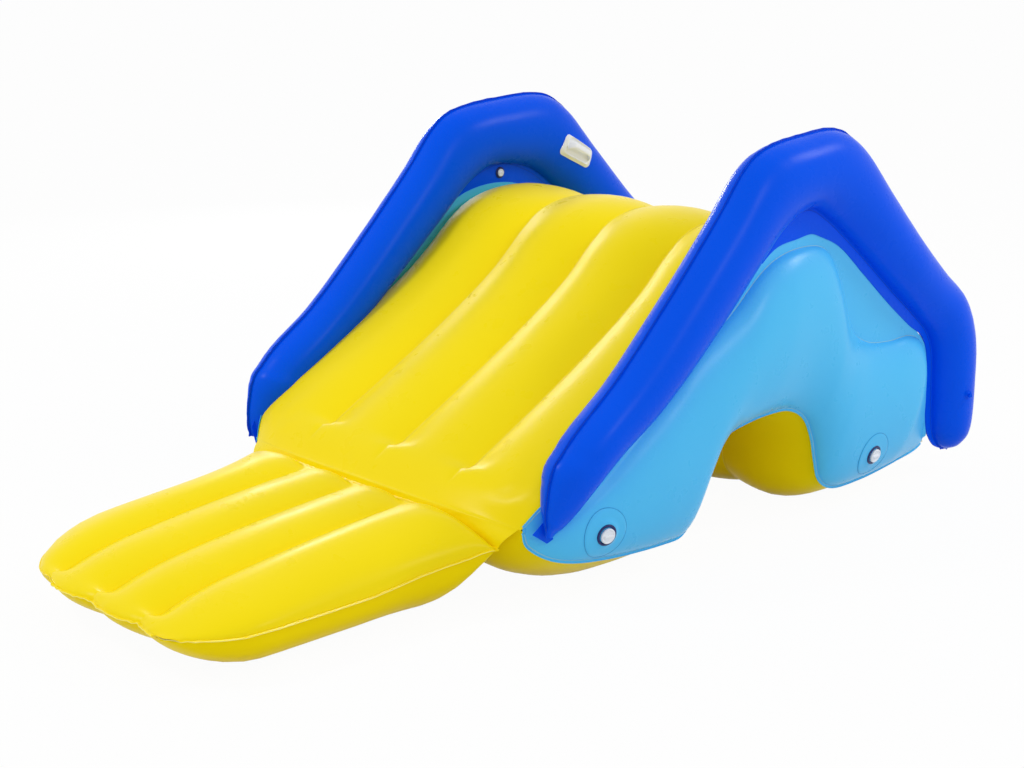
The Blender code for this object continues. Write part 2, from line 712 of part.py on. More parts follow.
def port(prefix, frame, ring_radius, cap_radius, sides, ring_finish, cap_finish):
    """Threaded port ring and the screw cap that closes it."""
    bore = cap_radius * 0.80
    top = ring_radius * 0.17
    ring = [
        (bore, 0.0003), (ring_radius, 0.0003), (ring_radius, 0.0016),
        (ring_radius * 0.90, top), (cap_radius + 0.0012, top), (bore, top * 0.8),
    ]
    turned(prefix + "_ring", ring, sides, ring_finish, frame)
    rise = top + 0.0006
    high = rise + cap_radius * 0.30
    plug = bore - 0.0006
    cap = [
        (0.0, rise - top * 0.7), (plug, rise - top * 0.7), (plug, rise), (cap_radius, rise),
        (cap_radius, high - cap_radius * 0.10), (cap_radius * 0.86, high),
        (cap_radius * 0.70, high), (cap_radius * 0.62, high - cap_radius * 0.12),
        (0.0, high - cap_radius * 0.12),
    ]
    made = turned(prefix + "_cap", cap, sides, cap_finish, frame)
    add_bar(made, frame, cap_radius, high)
    return made


def add_bar(cap, frame, radius, high):
    """Grip bar across the dished top of a screw cap, joined to it."""
    shape = bmesh.new()
    bmesh.ops.create_cube(shape, size=1.0)
    long, wide, tall = radius * 1.22, radius * 0.30, radius * 0.30
    bmesh.ops.scale(shape, vec=(long, wide, tall), verts=shape.verts)
    edges = [e for e in shape.edges if abs(e.verts[0].co.x - e.verts[1].co.x) > long / 2]
    upper = [e for e in edges if e.verts[0].co.z > 0]
    bmesh.ops.bevel(shape, geom=upper, offset=wide * 0.28, segments=2, affect="EDGES")
    low = high - radius * 0.12 - 0.0004
    bmesh.ops.translate(shape, vec=(0, 0, low + tall / 2), verts=shape.verts)
    turn = frame.to_3x3().to_4x4()
    bmesh.ops.transform(shape, matrix=turn, verts=shape.verts)
    mesh = bpy.data.meshes.new("grip_bar")
    shape.to_mesh(mesh)
    shape.free()
    bar = bpy.data.objects.new("grip_bar", mesh)
    bar.location = frame.translation
    bpy.context.collection.objects.link(bar)
    bpy.context.view_layer.update()
    join = cap.modifiers.new("bar", "BOOLEAN")
    join.operation = "UNION"
    join.solver = "EXACT"
    join.object = bar
    graph = bpy.context.evaluated_depsgraph_get()
    joined = bpy.data.meshes.new_from_object(cap.evaluated_get(graph))
    cap.modifiers.clear()
    cap.data = joined
    bpy.data.objects.remove(bar, do_unlink=True)


def stem_valve(side, sign, tree, blue):
    """Short stem valve on the outside of a rail's rear leg, with its stopper."""
    frame = seat_frame(tree, sign, VALVE_SPOT, 0.0115)
    base = [
        (0.0021, 0.0), (0.0115, 0.0), (0.0115, 0.0012), (0.0062, 0.0022),
        (0.0050, 0.0036), (0.0050, 0.0090), (0.0021, 0.0090),
    ]
    turned("rail_%s_valve" % side, base, 12, blue, frame)
    stopper = [
        (0.0, 0.0035), (0.0012, 0.0035), (0.0017, 0.0060), (0.0017, 0.0094), (0.0060, 0.0094),
        (0.0064, 0.0102), (0.0064, 0.0118), (0.0052, 0.0128), (0.0, 0.0128),
    ]
    turned("rail_%s_valve_stopper" % side, stopper, 12, blue, frame)


def handle(side, sign, tree, finish):
    """Curved plate with a raised rim on the rail's inner face, and its strap."""
    run = Vector((0.0, 0.89, -0.456))
    start = Vector((0.0, *HANDLE_SPOT))
    inwards = Vector((sign, 0, 0))
    hit, normal = tree.ray_cast(start, inwards)[:2]
    normal = Vector((-sign * 0.93, 0.26, 0.26)).normalized()
    run = (run - normal * run.dot(normal)).normalized()
    across = normal.cross(run)
    steps_u, steps_v = 10, 6
    top, under = [], []
    for i in range(steps_u + 1):
        top_row, under_row = [], []
        for j in range(steps_v + 1):
            p, q = 2 * i / steps_u - 1, 2 * j / steps_v - 1
            u, v = rounded_spot(p, q)
            level = max(abs(p), abs(q))
            plane = hit + run * u + across * v + normal * 0.05
            skin = tree.ray_cast(plane, -normal, 0.2)[0]
            rim = 0.0055 if 0.6 < level < 0.9 else 0.0030
            under_row.append(skin + normal * 0.0022)
            top_row.append(skin + normal * (0.0022 + rim))
        top.append(top_row)
        under.append(under_row)
    plate = grid_shell("handle_plate_" + side, np.array(top), np.array(under), finish,
                       (0.0, 0.0, 0.0))
    plate_tree = surface_tree(plate)
    upper, lower = [], []
    arch = 10
    half_long, half_wide = GRIP_HALF
    for i in range(arch + 1):
        t = 2 * i / arch - 1
        rise = GRIP_RISE * min(1.0, 1.9 * (1 - abs(t) ** 2.6))
        upper_row, lower_row = [], []
        for v in (-half_wide, -half_wide * 0.4, half_wide * 0.4, half_wide):
            plane = hit + run * (half_long * t) + across * v + normal * 0.05
            seat = plate_tree.ray_cast(plane, -normal, 0.2)[0]
            crown = 0.0008 if abs(v) < half_wide else 0.0
            lower_row.append(seat + normal * (0.0009 + rise))
            upper_row.append(seat + normal * (0.0009 + rise + 0.0032 + crown))
        upper.append(upper_row)
        lower.append(lower_row)
    grid_shell("handle_grip_" + side, np.array(upper), np.array(lower), finish)


def rounded_spot(p, q):
    """Map a point of the unit square into the handle plate's rounded outline."""
    level = max(abs(p), abs(q), 1e-6)
    a, b = HANDLE_HALF
    x, y = a * p / level, b * q / level
    cx, cy = a - HANDLE_CORNER, b - HANDLE_CORNER
    if abs(x) > cx and abs(y) > cy:
        away = Vector((abs(x) - cx, abs(y) - cy)).normalized() * HANDLE_CORNER
        x = math.copysign(cx + away.x, x)
        y = math.copysign(cy + away.y, y)
    return x * level, y * level


def main():
    clear_scene()
    yellow = material("yellow_film", (0.92, 0.72, 0.02), 0.28)
    light_blue = material("light_blue_film", (0.06, 0.45, 0.85), 0.28)
    blue = material("deep_blue_film", (0.0, 0.09, 0.72), 0.26)
    navy = material("navy_plastic", (0.006, 0.013, 0.10), 0.3)
    white = material("white_plastic", (0.82, 0.82, 0.84), 0.35)
    top_lips, bottom_lips = body_lips()
    slide = wrap_sheet("slide_sheet", BODY_TOP, TOP_SWELL, TOP_CHANNEL, 1, top_lips, yellow, 1)
    wrap_sheet("underside_sheet", BODY_BOTTOM, UNDER_SWELL, UNDER_CHANNEL, -1, bottom_lips, yellow, 1)
    panels = {s: side_panel("side_panel_" + s, sign, light_blue, 1) for s, sign in SIDES}
    for name, x in (("left", -BODY_CHANNEL), ("middle", 0.0), ("right", BODY_CHANNEL)):
        body_baffle("body_baffle_" + name, x, yellow)
    obstacle = surface_tree(slide)
    for side, sign in SIDES:
        outer = rail_sheet(side, sign, True, blue, 1)
        inner = rail_sheet(side, sign, False, blue, 1, obstacle)
        inner_tree = surface_tree(inner)
        handle(side, sign, inner_tree, white)
        stem_valve(side, sign, surface_tree(outer), blue)
        web = seat_frame_inside(inner_tree, sign, WEB_PORT_SPOT, WEB_RING_RADIUS)
        port("rail_%s_port" % side, web, WEB_RING_RADIUS, WEB_CAP_RADIUS, 16, navy, white)
    skin = surface_tree(panels["right"])
    for name, spot in PORT_SPOTS.items():
        frame = seat_frame(skin, 1, spot, 0.036, 0.0030)
        port_patch("port_%s_patch" % name, skin, frame, light_blue)
        frame = frame @ Matrix.Translation((0, 0, 0.0012))
        port("port_" + name, frame, PORT_RING_RADIUS, PORT_CAP_RADIUS, 20, navy, white)
    mat_sheet("mat_top_sheet", True, yellow)
    mat_sheet("mat_bottom_sheet", False, yellow)
    for name, x in (("left", -MAT_CHANNEL), ("middle", 0.0), ("right", MAT_CHANNEL)):
        mat_baffle("mat_baffle_" + name, x, yellow)
    hinge_strip(yellow)


main()
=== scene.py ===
import math

import bpy
import numpy as np
from mathutils import Matrix, Vector
from mathutils.bvhtree import BVHTree


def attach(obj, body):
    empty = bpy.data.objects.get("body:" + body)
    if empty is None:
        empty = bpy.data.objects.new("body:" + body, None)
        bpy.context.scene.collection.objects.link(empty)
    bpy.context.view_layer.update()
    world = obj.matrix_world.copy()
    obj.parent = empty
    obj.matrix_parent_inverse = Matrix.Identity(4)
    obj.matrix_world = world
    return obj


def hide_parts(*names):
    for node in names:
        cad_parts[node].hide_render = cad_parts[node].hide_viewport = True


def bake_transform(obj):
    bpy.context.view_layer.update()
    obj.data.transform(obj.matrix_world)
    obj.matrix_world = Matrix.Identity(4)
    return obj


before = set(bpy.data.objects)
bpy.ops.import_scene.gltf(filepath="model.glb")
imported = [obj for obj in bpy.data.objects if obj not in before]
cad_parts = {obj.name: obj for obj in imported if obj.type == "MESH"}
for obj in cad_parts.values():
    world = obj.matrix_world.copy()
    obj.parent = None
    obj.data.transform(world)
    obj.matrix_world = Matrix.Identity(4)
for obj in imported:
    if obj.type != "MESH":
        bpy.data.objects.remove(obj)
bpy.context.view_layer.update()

SIDES = (("left", -1), ("right", 1))

# Steps of the grids: to each span of a profile, and across each lobe
PER_SPAN = 6
SLOPE_LOBE_STEPS = 16
UNDER_LOBE_STEPS = 14
PANEL_STEPS = 26
RAIL_STEPS = 24
MAT_LOBE_STEPS = 16

# Film and weld sizes
FILM = 0.0010
GAP = 0.0003
WELD_PLANE = 0.543
SHEET_EDGE = WELD_PLANE - 0.0002
SEAM_LIP = 0.006
TOE_LIP = 0.008
TOE_DRAWN = (0.052, 0.050, -0.019)
TOE_DRAWN_FROM = -0.26

# Weld beads: width and height
CHANNEL_BEAD = (0.0032, 0.0008)
CHANNEL_BEAD_LIFT = 0.0016
PANEL_BEAD = (0.0030, 0.0008)
PANEL_FRONT_LIP = (0.0060, 0.0040)
PANEL_LOWER_RIM = (0.0036, 0.0022)
RAIL_BEAD = (0.0013, 0.0006)
MAT_BEAD = (0.0016, 0.0006)
DISC_BEAD = (0.0016, 0.0006)

# Side profile of the body, front to back
BODY_TOP = [
    (-0.468, 0.210), (-0.400, 0.250), (-0.290, 0.296), (-0.150, 0.362), (-0.020, 0.430),
    (0.070, 0.482), (0.150, 0.532), (0.225, 0.588), (0.310, 0.660), (0.385, 0.698),
    (0.480, 0.711), (0.565, 0.697), (0.612, 0.640), (0.650, 0.545), (0.696, 0.468),
    (0.770, 0.424), (0.865, 0.411), (0.955, 0.411), (1.010, 0.382), (1.024, 0.300),
    (1.036, 0.200), (1.048, 0.108),
]
BODY_BOTTOM = [
    (-0.468, 0.200), (-0.448, 0.158), (-0.360, 0.113), (-0.200, 0.084), (-0.020, 0.072),
    (0.062, 0.082), (0.104, 0.160), (0.140, 0.232), (0.205, 0.290), (0.290, 0.309),
    (0.380, 0.315), (0.455, 0.308), (0.515, 0.275), (0.550, 0.215), (0.568, 0.150),
    (0.590, 0.094), (0.650, 0.062), (0.760, 0.060), (0.860, 0.068), (0.940, 0.078),
    (1.000, 0.086), (1.040, 0.098),
]
PANEL_BORDER = [
    (-0.474, 0.214), (-0.404, 0.257), (-0.293, 0.303), (-0.153, 0.369), (-0.026, 0.440),
    (0.055, 0.500), (0.130, 0.562), (0.195, 0.620), (0.275, 0.692), (0.360, 0.735),
    (0.470, 0.750), (0.575, 0.734), (0.660, 0.680), (0.735, 0.622), (0.805, 0.566),
    (0.880, 0.506), (0.940, 0.460), (0.990, 0.418), (1.034, 0.370), (1.050, 0.300),
    (1.060, 0.200), (1.064, 0.112),
]
TOP_SWELL = [
    0.0, 0.016, 0.032, 0.042, 0.046, 0.048, 0.050, 0.052, 0.052, 0.050, 0.048,
    0.046, 0.042, 0.038, 0.034, 0.032, 0.032, 0.030, 0.026, 0.024, 0.018, 0.0,
]
TOP_CHANNEL = [
    0.0, 0.024, 0.031, 0.034, 0.035, 0.036, 0.038, 0.042, 0.040, 0.028, 0.018,
    0.018, 0.022, 0.024, 0.022, 0.020, 0.018, 0.014, 0.010, 0.006, 0.002, 0.0,
]
CHANNEL_FROM = -0.382
UNDER_WELD_FROM = -0.40
CHANNEL_WELD_TO = 1.02
UNDER_SWELL = [0.0, 0.030, 0.066, 0.088, 0.076, 0.060, 0.045] + [0.040] * 7 + [
    0.045, 0.056, 0.066, 0.064, 0.070, 0.060, 0.036, 0.0,
]
UNDER_CHANNEL = [0.0, 0.006, 0.014] + [0.018] * 15 + [0.016, 0.012, 0.006, 0.0]
BODY_CHANNEL = 0.2576
BODY_CHANNELS = (-BODY_CHANNEL, 0.0, BODY_CHANNEL)
LOBE_EDGE_TOP = (0.125, 0.5)
LOBE_EDGE_UNDER = (0.19, 1.2)
PANEL_SWELL = 0.165
PANEL_SWELL_MOST = 0.058

# Inner webs: names from left to right, rows of the grids that they reach, gap to the film
WEB_NAMES = ("left", "middle", "right")
BODY_WEB_ROWS = slice(22, -14, 4)
MAT_WEB_ROWS = slice(10, -8, 2)
WEB_INSET = np.array((0, 0, 0.004))

# Rails: outer seam, inner weld and width of the flat flange inside it
RAIL_SEAM = [
    (-0.400, 0.178), (-0.404, 0.240), (-0.386, 0.322), (-0.352, 0.362), (-0.300, 0.408),
    (-0.170, 0.503), (0.000, 0.664), (0.150, 0.818), (0.245, 0.925), (0.325, 0.967),
    (0.454, 0.985), (0.580, 0.988), (0.675, 0.945), (0.790, 0.832), (0.930, 0.696),
    (1.060, 0.584), (1.165, 0.497), (1.219, 0.385), (1.231, 0.240), (1.228, 0.120),
    (1.202, 0.072), (1.166, 0.056),
]
RAIL_WELD = [
    (-0.386, 0.176), (-0.335, 0.208), (-0.262, 0.270), (-0.222, 0.298), (-0.168, 0.333),
    (-0.050, 0.402), (0.121, 0.539), (0.261, 0.667), (0.350, 0.745), (0.425, 0.787),
    (0.498, 0.800), (0.565, 0.768), (0.640, 0.716), (0.740, 0.640), (0.860, 0.545),
    (0.965, 0.465), (1.030, 0.408), (1.062, 0.340), (1.072, 0.225), (1.083, 0.130),
    (1.112, 0.080), (1.154, 0.056),
]
RAIL_FLANGE = [
    0.005, 0.012, 0.016, 0.017, 0.018, 0.018, 0.018, 0.020, 0.030, 0.060, 0.062,
    0.045, 0.028, 0.030, 0.030, 0.028, 0.018, 0.018, 0.022, 0.022, 0.018,
    0.006,
]
RAIL_PLANE = WELD_PLANE + 0.0024
RAIL_FULLNESS = 0.87
RAIL_HALF_THICK = 0.0712
RAIL_CLEARANCE = 0.006
RAIL_MOST = 0.96
RAIL_NARROW_TO = 0.95
RAIL_NARROW = 0.35
# How far each rail's top and rear slope lie behind the plain profile, and how
# far its inner half leans over the edge of the slope, at the same stations.
RAIL_SHIFT = {
    "left": [0] * 10 + [0.02, 0.058, 0.062, 0.060, 0.055, 0.045, 0.02, 0.004] + [0] * 4,
    "right": [0] * 22,
}
RAIL_OVER_SLOPE = [0.96, 1.04, 1.04, 1.00, 0.96, 0.90, 0.80, 0.56, 0.2] + [0.0] * 13
INNER_START = [0.75, 1.0, 1.0, 1.0, 1.0]

# Landing mat
MAT_FRONT = -1.231
MAT_REAR = -0.486
MAT_HALF_WIDTH = 0.400
MAT_REAR_FLARE = 0.048
MAT_CORNER_RIGHT = (0.14, 0.19)
MAT_CORNER_LEFT = (0.265, 0.28)
MAT_CORNER_ROUND = 1.8
MAT_CHANNEL = 0.1835
MAT_CHANNEL_COLUMNS = [1 + MAT_LOBE_STEPS * lobe for lobe in (1, 2, 3)]
MAT_SEAM_Z = 0.100
MAT_REAR_Z = 0.140
MAT_REAR_MIDDLE_Z = 0.191
MAT_EDGE_TOP = (0.17, 0.52)
MAT_EDGE_UNDER = (0.13, 0.50)
MAT_FRONT_STEPS = [
    0.0, 0.0012, 0.004, 0.009, 0.015, 0.022, 0.030, 0.040, 0.052, 0.066, 0.082, 0.10, 0.13,
    0.165, 0.205, 0.25, 0.30, 0.35, 0.40, 0.45, 0.50, 0.545, 0.585,
]
MAT_REAR_STEPS = [
    0.13, 0.11, 0.093, 0.079, 0.067, 0.057, 0.048, 0.041, 0.035, 0.029, 0.023, 0.017, 0.012,
    0.008, 0.0045, 0.002, 0.0,
]

# Fittings: axes of the two ports on the right panel, and sizes
PORT_AXES = {
    "front": ((0.56918, -0.23877, 0.15367), (0.97091, -0.19103, -0.14437)),
    "rear": ((0.58969, 0.75579, 0.13288), (0.97095, -0.00384, -0.23927)),
}
RING_RADIUS = 0.0262
DISC_RADIUS = 0.0605
DISC_LIFT = 0.0009
DISC_THICK = 0.0006
RING_PROFILE = [
    (0.0192, -0.003), (0.0262, -0.003), (0.0262, 0.0022), (0.0254, 0.0036), (0.0238, 0.0042),
    (0.0216, 0.0042), (0.0203, 0.0032), (0.0192, 0.0010),
]
CAP_PROFILE = [
    (0.0005, 0.0012), (0.0145, 0.0012), (0.0145, 0.0048), (0.0184, 0.0048), (0.0187, 0.0056),
    (0.0185, 0.0088), (0.0176, 0.0100), (0.0160, 0.0102), (0.0146, 0.0094), (0.0136, 0.0082),
    (0.0005, 0.0082),
]
CAP_BAR = (0.0255, 0.0064, 0.0070, 0.0122)
TAB_EDGES = {
    "left": (((-0.410, 0.210), (-0.392, 0.141)), ((-0.382, 0.250), (-0.359, 0.175))),
    "right": (((-0.427, 0.186), (-0.382, 0.155)), ((-0.397, 0.217), (-0.372, 0.166))),
}
TAB_X = 0.5285
TAB_TURN = 0.010
TAB_BOW = 0.0025
HANDLE_SPOT = (0.735, 0.822)
HANDLE_HALF = (0.064, 0.029)
HANDLE_CORNER = 0.014
PLATE_STEPS = (48, 24)
PLATE_THICK = 0.0012
STRAP_STEPS = 24
STRAP_ENDS = (6, 42)
STRAP_RISE = 0.0175
STRAP_SECTION = [
    (-1, -0.3), (-0.8, 0.8), (-0.3, 1.0), (0.3, 1.0), (0.8, 0.8), (1, -0.3), (0.7, -0.9),
    (-0.7, -0.9),
]


def smooth_curve(points, per_span=PER_SPAN):
    """Points on a smooth curve through the given ones, per_span steps a span."""
    given = np.array(points, dtype=float)
    if given.ndim == 1:
        given = given[:, None]
    padded = np.vstack([2 * given[0] - given[1], given, 2 * given[-1] - given[-2]])
    out = []
    for i in range(1, len(padded) - 2):
        before, start, end, after = padded[i - 1:i + 3]
        for step in range(per_span):
            t = step / per_span
            out.append(0.5 * (
                2 * start + (end - before) * t
                + (2 * before - 5 * start + 4 * end - after) * t ** 2
                + (3 * start - before - 3 * end + after) * t ** 3
            ))
    out.append(given[-1])
    return np.array(out)


def smooth_values(values):
    return smooth_curve(values)[:, 0].clip(0)


def path_normals(path, side):
    along = np.gradient(path, axis=0)
    along /= np.linalg.norm(along, axis=1)[:, None]
    return np.stack([-along[:, 1], along[:, 0]], axis=1) * side


def arc_length(path):
    return np.concatenate([[0.0], np.cumsum(np.linalg.norm(np.diff(path, axis=0), axis=1))])


def ease(value):
    t = np.clip(value, 0.0, 1.0)
    return t * t * (3 - 2 * t)


def drawn_in(points, weight=1.0):
    """Pull the corners of the toe inwards and back, as air pressure does."""
    out = np.array(points, dtype=float)
    near_toe = ((TOE_DRAWN_FROM - out[..., 1]) / 0.21).clip(0, 1.1) ** 2
    pull = near_toe * (np.abs(out[..., 0]) / WELD_PLANE) ** 3 * weight
    out[..., 0] -= np.sign(out[..., 0]) * pull * TOE_DRAWN[0]
    out[..., 1] += pull * TOE_DRAWN[1]
    out[..., 2] += pull * TOE_DRAWN[2] * (out[..., 2] / 0.2).clip(0, 1)
    return out


def in_plane(line, x=0.0):
    """Points of a side profile, all at one X."""
    return np.column_stack([np.full(len(line), x), line])


def mirrored(points):
    flipped = np.array(points)
    flipped[..., 0] *= -1
    return flipped


# Surface detail: soft folds and the small puckers that a weld leaves

def waves(phase, seed, count=5):
    """A smooth uneven wave along a seam, from -1 to 1."""
    source = np.random.default_rng(seed)
    out = np.zeros_like(phase, dtype=float)
    for _ in range(count):
        length = source.uniform(0.7, 1.7)
        height = source.uniform(0.5, 1.0)
        out += height * np.sin(2 * np.pi * phase / length + source.uniform(0, 6.28))
    return out / (0.75 * count ** 0.5 * 1.5)


def puckers(along, away, pitch, reach, height, seed):
    """Short folds that run from a seam into the film."""
    strength = np.clip(waves(along / pitch, seed), -1, 1)
    patchy = 0.55 + 0.45 * waves(along / (pitch * 7), seed + 1)
    return height * strength * patchy * np.exp(-(away / reach) ** 1.5)


def fold(u, v, start, angle, length, width, height):
    """One soft fold from a start point in the film's own coordinates."""
    du, dv = u - start[0], v - start[1]
    along = du * math.cos(angle) + dv * math.sin(angle)
    across = -du * math.sin(angle) + dv * math.cos(angle)
    share = along / length
    body = np.where((share > 0) & (share < 1), np.sin(np.pi * np.clip(share, 0, 1) ** 0.6), 0.0)
    return height * body * np.exp(-(across / (width * (0.35 + 0.65 * np.clip(share, 0, 1)))) ** 2)


def grid_normals(grid):
    du = np.gradient(grid, axis=0)
    dv = np.gradient(grid, axis=1)
    normal = np.cross(du, dv)
    size = np.linalg.norm(normal, axis=-1, keepdims=True)
    return normal / np.maximum(size, 1e-12)


def face_outwards(mesh):
    mesh.calc_loop_triangles()
    volume = 0.0
    for triangle in mesh.loop_triangles:
        a, b, c = (mesh.vertices[i].co for i in triangle.vertices)
        volume += a.dot(b.cross(c))
    if volume < 0:
        mesh.flip_normals()


def add_object(name, points, faces, finish):
    mesh = bpy.data.meshes.new(name)
    mesh.from_pydata([tuple(p) for p in points], [], faces)
    mesh.validate()
    mesh.materials.append(finish)
    mesh.shade_smooth()
    mesh.set_sharp_from_angle(angle=math.radians(50))
    made = bpy.data.objects.new(name, mesh)
    bpy.context.scene.collection.objects.link(made)
    face_outwards(mesh)
    return made


def film(name, outer, towards, finish, thickness=FILM):
    """A sheet of film whose outer face is the grid; towards is a point inside."""
    normals = grid_normals(outer)
    middle = outer.reshape(-1, 3).mean(axis=0)
    out = np.array(outer) - (middle if towards is None else np.array(towards))
    if (out * normals).sum() < 0:
        normals = -normals
    inner = outer - normals * thickness
    rows, columns = outer.shape[:2]
    half = rows * columns
    points = np.concatenate([outer.reshape(-1, 3), inner.reshape(-1, 3)])
    faces = []
    for row in range(rows - 1):
        for column in range(columns - 1):
            a = row * columns + column
            quad = (a, a + 1, a + columns + 1, a + columns)
            faces.append(quad)
            faces.append(tuple(half + c for c in reversed(quad)))
    rim = [c for c in range(columns)]
    rim += [r * columns + columns - 1 for r in range(1, rows)]
    rim += [(rows - 1) * columns + c for c in range(columns - 2, -1, -1)]
    rim += [r * columns for r in range(rows - 2, 0, -1)]
    for here, after in zip(rim, rim[1:] + rim[:1]):
        faces.append((after, here, half + here, half + after))
    return add_object(name, points, faces, finish)


def tube_faces(first, rings, size):
    """Faces of a tube of closed rings, with both ends capped."""
    last = first + (rings - 1) * size
    faces = []
    for a in range(first, last, size):
        for j in range(size):
            k = (j + 1) % size
            faces.append((a + j, a + size + j, a + size + k, a + k))
    return faces + [tuple(range(first, first + size)), tuple(reversed(range(last, last + size)))]


ROUND_BEAD = [(-0.5, -0.6), (-0.32, 0.6), (0.0, 1.0), (0.32, 0.6), (0.5, -0.6)]


def bead(name, lines, section, finish):
    """Low weld beads along lines, each given as points and the skin's normals."""
    width, height = section
    points, faces = [], []
    for spots, normals in lines:
        spots, normals = np.array(spots), np.array(normals)
        along = np.gradient(spots, axis=0)
        along /= np.linalg.norm(along, axis=1)[:, None]
        across = np.cross(along, normals)
        across /= np.linalg.norm(across, axis=1)[:, None]
        count = len(spots)
        faces += tube_faces(len(points), count, len(ROUND_BEAD))
        for i in range(count):
            taper = min(1.0, 0.2 + i / 3, 0.2 + (count - 1 - i) / 3)
            wide, high = across[i] * width * taper, normals[i] * height * taper
            points += [spots[i] + wide * a + high * h for a, h in ROUND_BEAD]
    return add_object(name, points, faces, finish)


# Body

def edge_round(x, upper):
    reach, power = LOBE_EDGE_TOP if upper else LOBE_EDGE_UNDER
    inset = np.clip((SHEET_EDGE - np.abs(x)) / reach, 0, 1)
    return (1 - (1 - inset) ** 2) ** power


def channel_dip(x, pitch, power=0.8):
    nearest = np.minimum(np.abs(np.abs(x) - pitch), np.abs(x))
    return 1 - np.sin(np.pi * np.minimum(0.5, nearest / pitch)) ** power


def lobe_columns(edges, per_lobe):
    out = [edges[0]]
    for low, high in zip(edges, edges[1:]):
        for k in range(1, per_lobe + 1):
            out.append(low + (high - low) * (0.5 - 0.5 * math.cos(math.pi * k / per_lobe)))
    return np.array(out)


def lip_stations(top_end, bottom_end, direction, side):
    middle = (np.array(top_end) + np.array(bottom_end)) / 2
    along = np.array(direction) / np.linalg.norm(direction)
    across = np.array([-along[1], along[0]])
    if np.dot(across, np.array(top_end) - middle) < 0:
        across = -across
    step = across * side * (GAP / 2 + FILM)
    return [middle + along * TOE_LIP + step, middle + along * 0.006 + step], across * side


def wrap_grid(path, swell, channel, side, lips, per_lobe, detail, channel_from=-9.0):
    """Outer face of a sheet swept across the body and swollen into lobes."""
    line = smooth_curve(path)
    normals = path_normals(line, side)
    crest = smooth_values(swell)
    dip = smooth_values(channel)
    (front, front_normal), (rear, rear_normal) = lips
    stations = np.array(list(front) + list(line) + list(reversed(rear)))
    directions = np.array([front_normal] * 2 + list(normals) + [rear_normal] * 2)
    crest = np.concatenate([[0, 0], crest, [0, 0]])
    dip = np.concatenate([[0, 0], dip, [0, 0]])
    dip = dip * ease((stations[:, 0] - channel_from) / 0.022)
    lengths = arc_length(stations)
    edges = (-SHEET_EDGE, -BODY_CHANNEL, 0.0, BODY_CHANNEL, SHEET_EDGE)
    columns = lobe_columns(edges, per_lobe)
    x = columns[:, None]
    full = edge_round(x, side > 0)
    rise = (crest[None] - dip[None] * channel_dip(x, BODY_CHANNEL)) * full
    rise = rise + detail(x, lengths[None], stations[None, :, 0], crest[None])
    spot = stations[None] + directions[None] * rise[..., None]
    if side < 0:
        spot[..., 1] = np.maximum(spot[..., 1], 0.0)
    grid = np.concatenate([np.broadcast_to(x[..., None], spot.shape[:2] + (1,)), spot], axis=2)
    grid[..., 0] *= 1 - 0.0035 * ((-0.24 - grid[..., 1]) / 0.20).clip(0, 1)
    return drawn_in(grid), columns, directions


def slope_detail(x, s, y, crest):
    out = np.zeros(np.broadcast_shapes(x.shape, s.shape))
    inset = SHEET_EDGE - np.abs(x)
    out = out + puckers(s, inset, 0.030, 0.020, 0.0011, 11) * (crest > 0.004)
    end = float(np.interp(CHANNEL_FROM, y[0, :60], s[0, :60]))
    for at in BODY_CHANNELS:
        spread = ((s - end) / 0.014) ** 2 + ((x - at) / 0.012) ** 2
        out = out - 0.0030 * np.exp(-spread)
        out = out - fold(s, x, (end - 0.045, at - 0.003), 0.05, 0.060, 0.010, 0.0034)
        out = out - fold(s, x, (end - 0.006, at + 0.008), 0.62, 0.115, 0.018, 0.0034)
        out = out + fold(s, x, (end - 0.012, at + 0.022), 0.75, 0.090, 0.018, 0.0014)
        out = out - fold(s, x, (end - 0.006, at - 0.006), -0.75, 0.070, 0.014, 0.0020)
    for sign in (-1, 1):
        for angle, size, tall in ((0.02, 0.17, 0.0040), (0.24, 0.24, -0.0042), (0.48, 0.20, 0.0040),
                                  (0.72, 0.17, -0.0032), (0.98, 0.13, 0.0026)):
            out = out + fold(s, x * sign, (0.016, 0.475), -angle, size, 0.016, tall)
    return out


def under_detail(x, s, y, crest):
    inset = SHEET_EDGE - np.abs(x)
    out = puckers(s, inset, 0.034, 0.022, 0.0014, 21) * (crest > 0.004)
    bend = np.exp(-((y - 0.20) / 0.05) ** 2) + np.exp(-((y - 0.53) / 0.05) ** 2)
    out = out + 0.0030 * bend * waves(x / 0.16, 23) * (1 - channel_dip(x, BODY_CHANNEL))
    return out


def body_lips():
    toe = (BODY_TOP[0], BODY_BOTTOM[0], (-1.0, 0.0))
    heel = (BODY_TOP[-1], BODY_BOTTOM[-1], (0.78, -0.62))
    return [[lip_stations(*end, side) for end in (toe, heel)] for side in (1, -1)]


def panel_height(top, bottom, share):
    width = np.linalg.norm(np.array(top) - np.array(bottom))
    neck = math.exp(-((top[0] - 0.38) / 0.12) ** 2)
    most = min(PANEL_SWELL * width, PANEL_SWELL_MOST + 0.010 * neck)
    return most * (4 * share * max(0.0, 1 - share)) ** (0.60 - 0.04 * neck)


def covered_share(top, bottom):
    """Share of the way down at which the chamber comes out from under the rail."""
    weld = np.array(RAIL_WELD[:9])
    share = -0.055 * (1 - float(ease((top[0] - 0.12) / 0.15)))
    while share < 0.88:
        y, z = np.array(top) + (np.array(bottom) - np.array(top)) * share
        if z < np.interp(y, weld[:, 0], weld[:, 1]) - 0.010:
            return share
        share += 0.005
    return share


